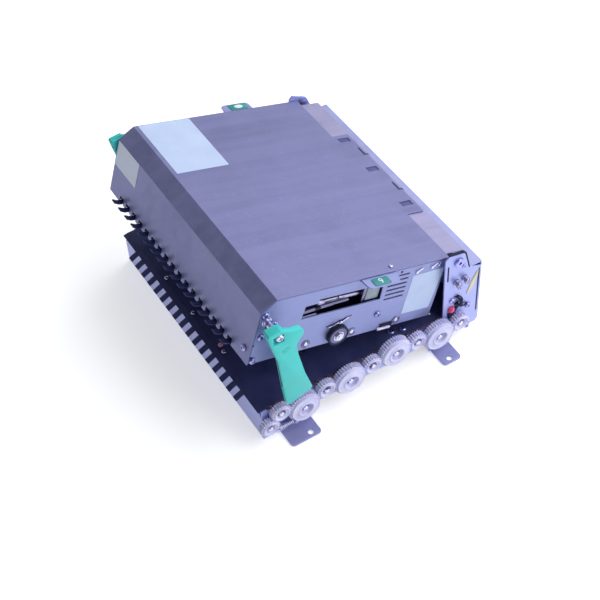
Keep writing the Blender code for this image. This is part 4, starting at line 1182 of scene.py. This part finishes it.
        # A black connector body beside the lens, which also paints the shade of the hollow between the bracket
        # and the gears.
        housing = plate("connector_and_painted_shade", [
            (82.2, 35.6), (88.6, 39.6), (92.4, 44.6), (99.4, 47.4), (99.0, 51.0), (93.6, 49.8), (91.0, 52.2),
            (88.4, 50.6), (90.4, 46.8), (86.0, 41.2), (82.0, 42.0)], 0.0, 1.6, 0.25)
        self.shop.fit(housing, BLACK_AND_PAINTED_SHADE, "base", place=facing_front(0, BASE_FRONT, 0))
        for number, (dx, dz) in enumerate(((0, 0), (1.3, -0.6), (2.5, 0.4)), 1):
            path = [(88.5 + dx, -129.6, 60.5 + dz), (91.0 + dx, -131.0, 60.0 + dz),
                    (93.5 + dx, -132.6, 57.0 + dz), (91.5 + dx, -133.2, 51.5), (93.0 + dx, -132.8, 47.5),
                    (97.5 + dx, -131.6, 45.0), (101.0 + dx * 0.5, -130.0, 44.2), (103.0, -129.4, 43.6)]
            wire = self.tube(f"sensor_wire_{number}", path, 0.65)
            self.shop.fit(wire, BLACK_AND_PAINTED_SHADE, "base")
        film = plate("amber_film", [(101.6, 56.5), (104.3, 56.6), (108.4, 62.6), (113.2, 74.0), (113.4, 80.4),
                                    (112.4, 80.6), (106.6, 70.8)], 0.0, 0.35, 0.05)
        self.shop.fit(film, FILM_AMBER, "base", place=facing_front(0, BASE_FRONT - 0.1, 0))

    def build(self) -> None:
        """Place everything that is fixed to the base."""
        self.spring()
        self.lens()
        self.rods_and_hinges()
        self.bracket_trim()
        for number, z in enumerate((30.0, 58.0, 78.0), 1):
            for side in (-1, 1):
                turn = Matrix.Translation(
                    (BASE_RIGHT, side * 105.0, z)) @ Matrix.Rotation(math.pi / 2, 4, "Y")
                self.hardware.put(
                    "small", f"cover_screw_{number}_{'front' if side < 0 else 'rear'}", turn, "base")


# ------------------------------------------------------------------ upper unit


@dataclass
class UpperUnit:
    """What is fixed to the hinged unit: labels, tab patches, screws, lever, wheel, shades and window."""

    shop: Workshop
    hardware: Hardware
    wheel_at: Point = (72.6, -56.5)

    def labels(self) -> None:
        """The blank labels on the cover, its end panel and the front plate."""
        top = plate("cover_label", rounded((4.0, 174), (56.5, 249.2), 0.8), 0.02, 0.18, 0)
        self.shop.fit(top, LABEL_STOCK, "upper", Seat.UPPER)
        plain = plate("panel_label", rounded((209.5, -26.0), (248.5, -0.6), 0.8), 0.02, 0.17, 0)
        lean = math.atan2(1.5, 55.7)
        panel = Matrix(((0, 0, -1, -13.0), (1, 0, 0, 0), (0, 1, 0, -11.3), (0, 0, 0, 1)))
        tip = Matrix.Translation(
            (-13.0, 0, -11.3)) @ Matrix.Rotation(lean, 4, "Y") @ Matrix.Translation((13.0, 0, 11.3))
        # The end panel's label is in the brighter stock, painted light against the panel's shade.
        self.shop.fit(plain, PANEL_STOCK_PAINTED_LIGHT, "upper", Seat.UPPER, tip @ panel)
        front = plate(
            "front_label", [(141.8, -12.2), (175.8, -10.8), (172.6, -55.6), (142.2, -55.2)], 0.02, 0.17, 0)
        self.shop.fit(front, LABEL_STOCK, "upper", Seat.UPPER, facing_front())

    def finger_tabs(self) -> None:
        """Green patches on the finger tabs, one with its single figure, and the raised hinge tab's dot."""
        level = -1.3
        patch = plate("front_tab_patch", rounded((91.0, -11.2), (107.8, -2.2), 1.6), 0.0, 0.5, 0.12)
        self.shop.fit(patch, TAG_GREEN, "upper", Seat.UPPER, facing_up(0, 0, level))
        deselect()
        bpy.ops.object.text_add(location=(0, 0, 0))
        figure = bpy.context.object
        figure.name = "front_tab_figure"
        figure.data.body = "9"
        figure.data.size = 8.4
        figure.data.extrude = 0.08
        figure.data.align_x, figure.data.align_y = "CENTER", "CENTER"
        bpy.ops.object.convert(target="MESH")
        figure = bpy.context.object
        self.shop.fit(figure, TAG_FIGURE, "upper", Seat.UPPER, facing_up(99.4, -6.7, level + 0.56, 0.12))
        rear = plate("rear_tab_patch", rounded((105.2, 252.0), (124.6, 261.0), 1.6), 0.0, 0.5, 0.12)
        self.shop.fit(rear, TAG_GREEN, "upper", Seat.UPPER, facing_up(0, 0, level))
        oval = []
        for i in range(32):
            angle = i * math.pi / 16
            oval.append((115.0 + 4.6 * math.cos(angle), 256.4 + 2.5 * math.sin(angle)))
        disc = plate("rear_tab_disc", oval, 0.0, 0.2, 0.05)
        self.shop.fit(disc, TAG_FIGURE, "upper", Seat.UPPER, facing_up(0, 0, level + 0.5))
        self.hardware.put("small", "raised_tab_dot", facing_up(193.0, 68.0, -1.3), "upper", Seat.UPPER)

    def front_screws(self) -> None:
        """The screws and the black discs of painted shade in the holes on the front plate, and plain ones on
        the rear plate.
        """
        pan = ((113.5, -46.8), (3.4, -26.2), (-7.6, -37.6), (-9.8, -63.0), (-7.9, -14.0))
        small = ((168.8, -5.6),)
        for kind, places in (("pan", pan), ("small", small)):
            for number, (x, z) in enumerate(places, 1):
                self.hardware.put(kind, f"front_{kind}_screw_{number}", facing_front(x, 0, z, 0.6 * number),
                                  "upper", Seat.UPPER)
                self.hardware.put(kind, f"rear_{kind}_screw_{number}", facing_back(x, 250, z, 0.6 * number),
                                  "upper", Seat.UPPER)
        panel = Matrix.Translation((-14.2, 8.7, -54.4)) @ Matrix.Rotation(-math.pi / 2, 4, "Y")
        self.hardware.put("pan", "panel_screw", panel, "upper", Seat.UPPER)
        self.hardware.put(
            "small", "cover_edge_screw", facing_up(118, 6, 0.0), "upper", Seat.UPPER, TURNED_STEEL)
        # Black discs stand for the holes: painted shade of their insides.
        holes = (("left", -12.4, -46.0, 0.9), ("right", 127.0, -3.8, 1.3), ("foot", -11.8, -59.4, 1.2))
        for name, x, z, radius in holes:
            hole = turned(f"front_hole_painted_shade_{name}", [(radius, -0.2), (radius, 0.05)], 24)
            self.shop.fit(hole, BLACK_AND_PAINTED_SHADE, "upper", Seat.UPPER, facing_front(x, 0, z))

    def wheel(self) -> None:
        """The grooved wheel with its hub, washer and nut."""
        x, z = self.wheel_at
        tyre = turned("guide_wheel_moulded", [
            (2.8, 0.8), (9.9, 0.8), (10.2, 1.1), (10.2, 2.3), (9.0, 2.9), (10.2, 3.5), (10.2, 4.7),
            (9.8, 5.0), (8.6, 5.0), (8.3, 4.2), (2.8, 4.1)], 56, closed=True)
        self.shop.fit(
            tyre, ROLLER_RUBBER, "wheel", Seat.UPPER, facing_front(x, 0, z), replaces=("guide_wheel",))
        face = turned("guide_wheel_face", [
            (2.9, 4.15), (8.2, 4.3), (8.1, 4.6), (6.6, 4.75), (6.2, 4.45), (2.9, 4.45)], 56, closed=True)
        self.shop.fit(face, WHEEL_GREY, "wheel", Seat.UPPER, facing_front(x, 0, z))
        stud = turned("wheel_stud_turned", [
            (4.5, -3.5), (4.5, -1.5), (2.5, -1.5), (2.5, 4.5), (5.0, 4.5), (5.1, 4.7), (5.0, 5.0),
            (2.2, 5.05), (2.2, 6.9), (1.8, 7.2)], 36)
        self.shop.fit(
            stud, TURNED_STEEL, "upper", Seat.UPPER, facing_front(x, 0, z), replaces=("wheel_stud",))
        nut = turned("wheel_nut", [(4.0, 5.05), (4.2, 5.3), (4.2, 6.1), (3.9, 6.5), (2.6, 6.6)], 6)
        self.shop.fit(nut, TURNED_STEEL, "upper", Seat.UPPER, facing_front(x, 0, z, 0.2))

    def lever(self) -> None:
        """The thin release lever over the wheel, with its pivot and painted shade in its slot."""
        # A black strip of painted shade in the slot behind the lever.
        slot = plate(
            "lever_slot_painted_shade", [(59.6, -47.4), (60.0, -45.9), (84.2, -39.4), (84.8, -40.6)], -0.1, 0.05, 0)
        self.shop.fit(slot, BLACK_AND_PAINTED_SHADE, "upper", Seat.UPPER, facing_front())
        arm = plate("release_lever", [
            (62.0, -46.4), (66.5, -46.2), (71.0, -43.6), (75.5, -43.2), (80.6, -40.0), (81.6, -41.4),
            (76.2, -45.0), (71.6, -45.8), (66.8, -48.0), (62.2, -48.2)], 0.4, 1.3, 0.15)
        self.shop.fit(arm, TURNED_STEEL, "upper", Seat.UPPER, facing_front())
        self.hardware.put(
            "small", "lever_pivot", facing_front(73.6, -1.2, -44.5), "upper", Seat.UPPER, TURNED_STEEL)

    def clips(self) -> None:
        """The two bright clips under the cover's front edge, and the hook and bar at the plate's foot."""
        hook = [(0.0, 0.0), (2.6, 0.3), (3.0, 2.2), (6.8, 4.6), (5.8, 5.6), (1.6, 3.4), (-0.4, 2.6)]
        for number, (x, z) in enumerate(((143.4, -9.6), (159.5, -8.0)), 1):
            clip = plate(f"edge_clip_{number}", [(x + dx, z + dz) for dx, dz in hook], 0.2, 1.2, 0.15)
            self.shop.fit(clip, TURNED_STEEL, "upper", Seat.UPPER, facing_front())
        stop = plate("foot_hook", [(121.0, -61.0), (133.5, -61.0), (133.5, -66.0), (131.0, -66.0),
                                   (131.0, -63.6), (121.0, -63.6)], 0.1, 1.6, 0.2)
        self.shop.fit(stop, BLACK_AND_PAINTED_SHADE, "upper", Seat.UPPER, facing_front())
        bar = block("foot_bar", (118.0, -2.6, -66.2), (132.0, -0.4, -64.2), 0.5, 3)
        self.shop.fit(bar, GEAR_WHITE, "upper", Seat.UPPER)

    def cover_shades(self) -> None:
        """Painted shade in the cover's windows and angled slots beside the hinge: dark plates set in the
        openings, whose insides are in shade.
        """
        # Slate plates in the windows: painted shade.
        for number, y in enumerate((179.2, 131.6, 77.1), 1):
            shade = plate(f"cover_window_shade_{number}", rounded((180.7, y - 3.0), (192.3, y + 3.0), 0.4),
                          -1.2, -0.6, 0.1)
            self.shop.fit(shade, SLATE_PAINTED_SHADE, "upper", Seat.UPPER)
        # Black L-shaped inlays in the angled slots: painted shade.
        for number, y in enumerate((159.0, 102.5), 1):
            angle = [(192.3, y + 5.9), (192.3, y - 5.9), (197.4, y - 5.9), (197.4, y - 4.5), (193.7, y - 4.5),
                     (193.7, y + 5.9)]
            inlay = plate(f"cover_slot_shade_{number}", angle, -1.2, -0.3, 0)
            self.shop.fit(inlay, BLACK_AND_PAINTED_SHADE, "upper", Seat.UPPER)

    def bar(self, name: str, start: Vector, end: Vector, radius: float) -> bpy.types.Object:
        """A straight round bar with chamfered ends.

        Args:
            name: The piece's name.
            start: One end's middle.
            end: The other end's middle.
            radius: The bar's radius.

        Returns:
            The bar at its place.
        """
        long, edge = (end - start).length, radius * 0.2
        obj = turned(
            name, [(radius - edge, 0), (radius, edge), (radius, long - edge), (radius - edge, long)], 24)
        obj.data.transform(
            Matrix.Translation(start) @ (end - start).to_track_quat("Z", "Y").to_matrix().to_4x4())
        return obj

    def window(self) -> None:
        """The rod with its collars behind the window, the smoky housing at the window's right end, and a black
        plate of painted shade behind them.
        """
        rings = [(2.4, 12), (2.4, 48), (4.4, 48), (4.6, 48.3), (4.6, 54.7), (4.4, 55), (2.4, 55), (2.4, 70),
                 (3.4, 70), (3.6, 70.4), (3.6, 73), (2.4, 73.2), (2.4, 100), (3.8, 100), (3.8, 104),
                 (2.4, 104), (2.4, 170)]
        rod = turned("link_rod_turned", rings, 32)
        along = Matrix.Translation((0, 8.5, -23.5)) @ Matrix.Rotation(math.pi / 2, 4, "Y")
        self.shop.fit(rod, STAND_STEEL, "upper", Seat.UPPER, along, replaces=("link_rod",))
        for number, (start, end, radius, coat) in enumerate((
                ((32.8, 3.1, -25.3), (62.9, 3.1, -23.3), 1.5, WHEEL_GREY),
                ((62.9, 3.1, -23.3), (78.0, 3.1, -22.8), 1.3, WHEEL_GREY),
                ((44.0, 3.2, -24.6), (50.0, 3.2, -24.2), 1.8, BLACK_AND_PAINTED_SHADE),
                ((31.0, 3.1, -31.0), (47.0, 3.1, -30.4), 1.2, DARK_STEEL)), 1):
            self.shop.fit(self.bar(
                f"window_bar_{number}", Vector(start), Vector(end), radius), coat, "upper", Seat.UPPER)
        # A black plate behind the window: painted shade of the unit's inside.
        shade = plate("window_shade", [(27, -46), (114, -46), (114, -6), (27, -6)], -14.8, -14.0, 0.2)
        self.shop.fit(shade, BLACK_AND_PAINTED_SHADE, "upper", Seat.UPPER, facing_front())
        case = block("window_housing", (96.0, 2.0, -29.0), (110.0, 4.6, -13.5), 0.8, 3)
        self.shop.fit(case, SMOKE_GREY, "upper", Seat.UPPER)
        rib = block("window_rib", (92.4, 2.2, -30.5), (95.4, 5.2, -12.5), 0.5, 2)
        self.shop.fit(rib, DARK_STEEL, "upper", Seat.UPPER)

    def build(self) -> None:
        """Place everything that is fixed to the hinged unit."""
        self.labels()
        self.finger_tabs()
        self.front_screws()
        self.wheel()
        self.lever()
        self.clips()
        self.cover_shades()
        self.window()


# ------------------------------------------------------------------ latch


@dataclass
class Latch:
    """The green latch handles and the shaft between them."""

    shop: Workshop
    hardware: Hardware
    wall: float = 2.2
    depths: dict = None
    block_depth: float = 9.2
    face: dict = None
    shaft_r: float = 3.0

    def outline(self) -> list[Point]:
        """Front outline of a handle about its shaft."""
        ear = [(15.0 + 6.2 * math.cos(math.radians(a)),
                -4.5 + 6.2 * math.sin(math.radians(a))) for a in range(62, -63, -9)]
        points = [(-11.2, 7.0), (-10.0, 8.8), (0.5, 9.5), (5.0, 6.0), (10.5, 2.8), *ear, (13.8, -16.5),
                  (15.2, -30.0), (20.0, -56.0), (26.2, -78.5), (24.5, -81.2), (4.0, -87.6), (1.2, -85.0),
                  (-1.0, -64.0), (-3.5, -28.0), (-8.5, -7.0)]
        return points

    def inset(self, points: list[Point], wall: float) -> list[Point]:
        """The outline moved inwards by a wall's thickness.

        Args:
            points: The outline, clockwise.
            wall: How far it moves in.

        Returns:
            The inner outline.
        """
        inner = []
        for i, point in enumerate(points):
            here = Vector(point)
            before = Vector(points[i - 1]) - here
            after = Vector(points[(i + 1) % len(points)]) - here
            one = Vector((before.y, -before.x)).normalized()
            two = Vector((-after.y, after.x)).normalized()
            middle = (one + two).normalized()
            inner.append(tuple(here - middle * wall / max(0.35, middle.dot(two))))
        return inner

    def handle(self, end: str, face: float) -> None:
        """One handle, its front wall and side walls, block, screw pocket, side slot and blank patch.

        Args:
            end: "front" or "rear".
            face: How far its face stands outside the upper plate's middle.
        """
        turn = facing_front if end == "front" else facing_back
        sign = 1.0 if end == "front" else -1.0
        depth = self.depths[end]
        outline = [(sign * x, z) for x, z in self.outline()]
        shell = plate(f"latch_handle_moulded_{end}", outline, face - depth, face, 0)
        inner = [(sign * x, z) for x, z in self.inset(self.outline(), self.wall)]
        cut(shell, plate("pocket_cutter", inner, face - depth - 2, face - self.wall, 0))
        hub = max(face - self.block_depth, 127.2)
        boss = [(sign * x, z) for x, z in (
            (-10.4, 6.8), (-9.2, 8.2), (0.5, 8.6), (4.9, 5.4), (4.9, -8.4), (-7.9, -8.4))]
        cut(shell, plate("block", boss, hub, face - 0.5, 0), join=True)
        recess = [(sign * x, z) for x, z in ((-6.6, -4.6), (3.2, -4.6), (3.2, 4.4), (-6.6, 4.4))]
        cut(shell, plate("recess_cutter", recess, face - 3.2, face + 2, 0))
        cut(shell, turned("bore_cutter", [(3.3, hub - 2), (3.3, face + 2)], 32))
        soften(shell, 0.4, 2, 50)
        self.shop.fit(shell, HANDLE_GREEN, "latch", Seat.LATCH, turn(), replaces=(f"latch_handle_{end}",))
        patch = plate(f"latch_patch_{end}", rounded((-3.6, -2.2), (3.6, 2.2), 0.6), 0.0, 0.3, 0.1)
        self.shop.fit(patch, HANDLE_GREEN, "latch", Seat.LATCH,
                      turn() @ Matrix.Translation((sign * 4.8, -16.5, face)) @ Matrix.Rotation(0.12, 4, "Z"))
        screw = self.shop.copy(self.hardware.patterns["pan"], f"latch_screw_{end}")
        self.shop.fit(screw, TURNED_STEEL, "latch", Seat.LATCH,
                      turn() @ Matrix.Translation((0, 0, face - 2.6)) @ Matrix.Scale(1.25, 4))
        if end == "front":
            self.side_slot(face)

    def side_slot(self, face: float) -> None:
        """Painted shade in the slot down the front handle's left side wall.

        Args:
            face: How far the handle's face stands outside the upper plate's middle.
        """
        # A black strip stands for the slot: painted shade of its inside.
        slot = plate("latch_side_slot_painted_shade", [(1.2, 2.0), (1.7, 2.0), (3.6, -34.0), (1.6, -35.5)], -0.1, 0.08, 0)
        rise, run = Vector((-2.5, 0, 36)).normalized(), Vector((-36, 0, -2.5)).normalized()
        axes = Matrix(((0, -1, 0), tuple(rise), tuple(run))).transposed().to_4x4()
        self.shop.fit(
            slot, BLACK_AND_PAINTED_SHADE, "latch", Seat.LATCH, Matrix.Translation((-3.5, -(face - 5.0), -28)) @ axes)

    def shaft(self) -> None:
        """The shaft with its collars and grooves."""
        r = self.shaft_r
        front, rear = self.face["front"] - 2.4, self.face["rear"] - 2.4
        rings = [(r, -rear), (r, -127), (4.3, -127), (4.5, -126.8), (4.5, -125.4), (r, -125.3), (r, 125.3),
                 (4.5, 125.3), (4.5, 126.8), (4.2, 127), (r, 127), (r, 129.4), (2.3, 129.6), (2.3, 130.4),
                 (r, 130.6), (r, front - 0.4), (r * 0.85, front)]
        shaft = turned("latch_shaft_turned", rings, 32)
        self.shop.fit(shaft, TURNED_STEEL, "latch", Seat.LATCH, facing_front(), replaces=("latch_shaft",))
        self.hardware.put("clip", "latch_shaft_clip", facing_front(0, -129.8, 0, 0.8), "latch", Seat.LATCH)

    def build(self) -> None:
        """Place the handles and their shaft."""
        self.face = {"front": 148.1, "rear": 133.0}
        self.depths = {"front": 5.0, "rear": 3.4}
        for end, face in self.face.items():
            self.handle(end, face)
        self.shaft()


# ------------------------------------------------------------------ packed sheet pieces


class SheetWork:
    """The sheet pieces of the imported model, which keep their shape and get finishes and softened edges."""

    FINISHES = {
        COVER_SHEET: ("upper_cover",), PLATED_UPPER: ("upper_front_plate", "upper_back_plate", "grip_plate"),
        PLATED_SHEET: ("base_front_plate", "base_back_plate", "base_left_wall", "base_right_wall"),
        OUTER_COVER: ("base_right_cover", "base_floor_pan"), HINGE_SHEET: ("hinge_plate",),
        COATED_GUIDE: ("lower_guide_plate", "upper_guide_plate"), BLACK_AND_PAINTED_SHADE: ("rod_carrier",),
        FOOT_ZINC: ("foot_front_left", "foot_front_right", "foot_rear_left", "foot_rear_right")}
    EDGE = 0.22 * MM
    PLAIN = ("base_right_wall", "base_floor_pan", "rod_carrier")

    def __init__(self, shop: Workshop) -> None:
        """Keep the workshop."""
        self.shop = shop

    def soften(self, node: str) -> None:
        """Round a sheet's edges with live modifiers, its own mesh left as it is."""
        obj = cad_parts[node]
        weld = obj.modifiers.new("weld", "WELD")
        weld.merge_threshold = 1e-6
        flat = obj.modifiers.new("flat", "DECIMATE")
        flat.decimate_type = "DISSOLVE"
        flat.angle_limit = math.radians(1)
        edge = obj.modifiers.new("edge", "BEVEL")
        edge.width = self.EDGE
        edge.segments = 2
        edge.limit_method = "ANGLE"
        edge.angle_limit = math.radians(40)
        edge.use_clamp_overlap = True

    def build(self) -> None:
        """Dress every sheet piece."""
        for finish, nodes in self.FINISHES.items():
            for node in nodes:
                self.shop.dress(node, finish)
                if node not in self.PLAIN:
                    self.soften(node)


# ------------------------------------------------------------------ studio


@dataclass
class Studio:
    """The pale floor, the soft lamps, the world and the camera."""

    camera_at: tuple = (-0.4094082, -0.7437564, 0.9533814)
    azimuth: float = math.radians(-29.08)
    elevation: float = math.radians(48.616)
    roll: float = math.radians(-3.641)
    lens: float = 80.3727
    floor_size: float = 6.0
    floor_colour: tuple = (0.93, 0.94, 0.97)

    def floor(self) -> None:
        """A wide pale floor."""
        deselect()
        bpy.ops.mesh.primitive_plane_add(size=self.floor_size, location=(0, 0, -0.0004))
        obj = bpy.context.object
        obj.name = "studio_floor"
        bpy.ops.object.transform_apply(location=True, rotation=True, scale=True)
        bpy.ops.object.mode_set(mode="EDIT")
        bpy.ops.mesh.select_all(action="SELECT")
        bpy.ops.mesh.subdivide(number_cuts=3)
        bpy.ops.object.mode_set(mode="OBJECT")
        material = bpy.data.materials.new("floor_paper")
        material.use_nodes = True
        nodes = Nodes(material.node_tree)
        shader = material.node_tree.nodes["Principled BSDF"]
        out = material.node_tree.nodes["Material Output"]
        shader.inputs["Roughness"].default_value = 0.9
        shader.inputs["Specular IOR Level"].default_value = 0.1
        grain = nodes.add("TexNoise", Scale=60.0, Detail=2.0)
        nodes.link(nodes.add("TexCoord").outputs["Object"], grain.inputs["Vector"])
        low = tuple(c * 0.985 for c in self.floor_colour)
        nodes.link(nodes.mix(grain.outputs[0], low, self.floor_colour), shader.inputs["Base Color"])
        glow = nodes.add("Emission")
        glow.inputs[0].default_value = (1.0, 1.0, 1.0, 1.0)
        path = nodes.add("LightPath")
        seen = nodes.math("MAXIMUM", path.outputs["Is Camera Ray"], path.outputs["Is Glossy Ray"])
        nodes.link(nodes.math("MULTIPLY", seen, 0.50), glow.inputs["Strength"])
        total = nodes.add("AddShader")
        nodes.link(shader.outputs[0], total.inputs[0])
        nodes.link(glow.outputs[0], total.inputs[1])
        nodes.link(total.outputs[0], out.inputs["Surface"])
        obj.data.materials.append(material)

    def world(self) -> None:
        """A white world, dimmer overhead and at the left, that reads as white where it is seen."""
        world = bpy.data.worlds.new("studio_world")
        bpy.context.scene.world = world
        world.use_nodes = True
        nodes = Nodes(world.node_tree)
        back = world.node_tree.nodes["Background"]
        back.inputs[0].default_value = (0.97, 0.98, 1.0, 1.0)
        axes = nodes.add("SeparateXYZ")
        nodes.link(nodes.add("TexCoord").outputs["Generated"], axes.inputs[0])
        side = nodes.math("MULTIPLY", axes.outputs["X"], 0.4)
        height = nodes.math("MULTIPLY", axes.outputs["Z"], -0.8)
        even = nodes.spread(nodes.math("ADD", side, height), 0.20, 0.95, start=-0.8, end=0.2)
        path = nodes.add("LightPath")
        nodes.link(nodes.math("MAXIMUM", even, path.outputs["Is Camera Ray"]), back.inputs[1])

    def lamp(self, name: str, place: tuple, aim: tuple, size: float, power: float) -> None:
        """A square soft lamp.

        Args:
            name: The lamp's name.
            place: Where it hangs.
            aim: The point that it faces.
            size: Its side.
            power: Its power in watts.
        """
        data = bpy.data.lights.new(name, "AREA")
        data.size, data.energy = size, power
        obj = bpy.data.objects.new(name, data)
        obj.location = place
        obj.rotation_euler = (Vector(aim) - Vector(place)).to_track_quat("-Z", "Y").to_euler()
        bpy.context.scene.collection.objects.link(obj)

    def camera(self) -> None:
        """The camera at its place."""
        back = Vector((math.sin(self.azimuth) * math.cos(self.elevation),
                       -math.cos(self.azimuth) * math.cos(self.elevation), math.sin(self.elevation)))
        right = Vector((math.cos(self.azimuth), math.sin(self.azimuth), 0.0))
        up = back.cross(right)
        turn, lean = math.cos(self.roll), math.sin(self.roll)
        axes = (turn * right + lean * up, -lean * right + turn * up, back)
        data = bpy.data.cameras.new("studio_camera")
        data.lens, data.sensor_width, data.clip_start = self.lens, 36.0, 0.01
        obj = bpy.data.objects.new("studio_camera", data)
        facing = Matrix([list(axis) for axis in axes]).transposed().to_4x4()
        obj.matrix_world = Matrix.Translation(self.camera_at) @ facing
        bpy.context.scene.collection.objects.link(obj)
        bpy.context.scene.camera = obj

    def build(self) -> None:
        """Set the stage."""
        self.floor()
        self.world()
        self.lamp("key_lamp", (0.7, -0.9, 1.4), (0, 0, 0.05), 1.1, 9)
        self.lamp("top_lamp", (1.1, 0.2, 1.4), (0, 0, 0.05), 1.4, 14)
        self.lamp("front_lamp", (0.9, -1.3, 0.7), (0, 0, 0.05), 0.9, 4)
        self.camera()
        bpy.context.scene.view_settings.view_transform = "Standard"


def main() -> None:
    """Build every sub-assembly in order."""
    Studio().build()
    shop = Workshop()
    hardware = Hardware(shop)
    hardware.make_patterns()
    gears = GearRow(shop, hardware)
    row = gears.centres()
    gears.build()
    FeedPath(shop, hardware, row).build()
    DeckTrim(shop, hardware, row).build()
    BaseChassis(shop, hardware).build()
    UpperUnit(shop, hardware).build()
    Latch(shop, hardware).build()
    hardware.clear_patterns()
    SheetWork(shop).build()
    LOG.info("%d new pieces", shop.count)


if __name__ == "__main__":
    main()
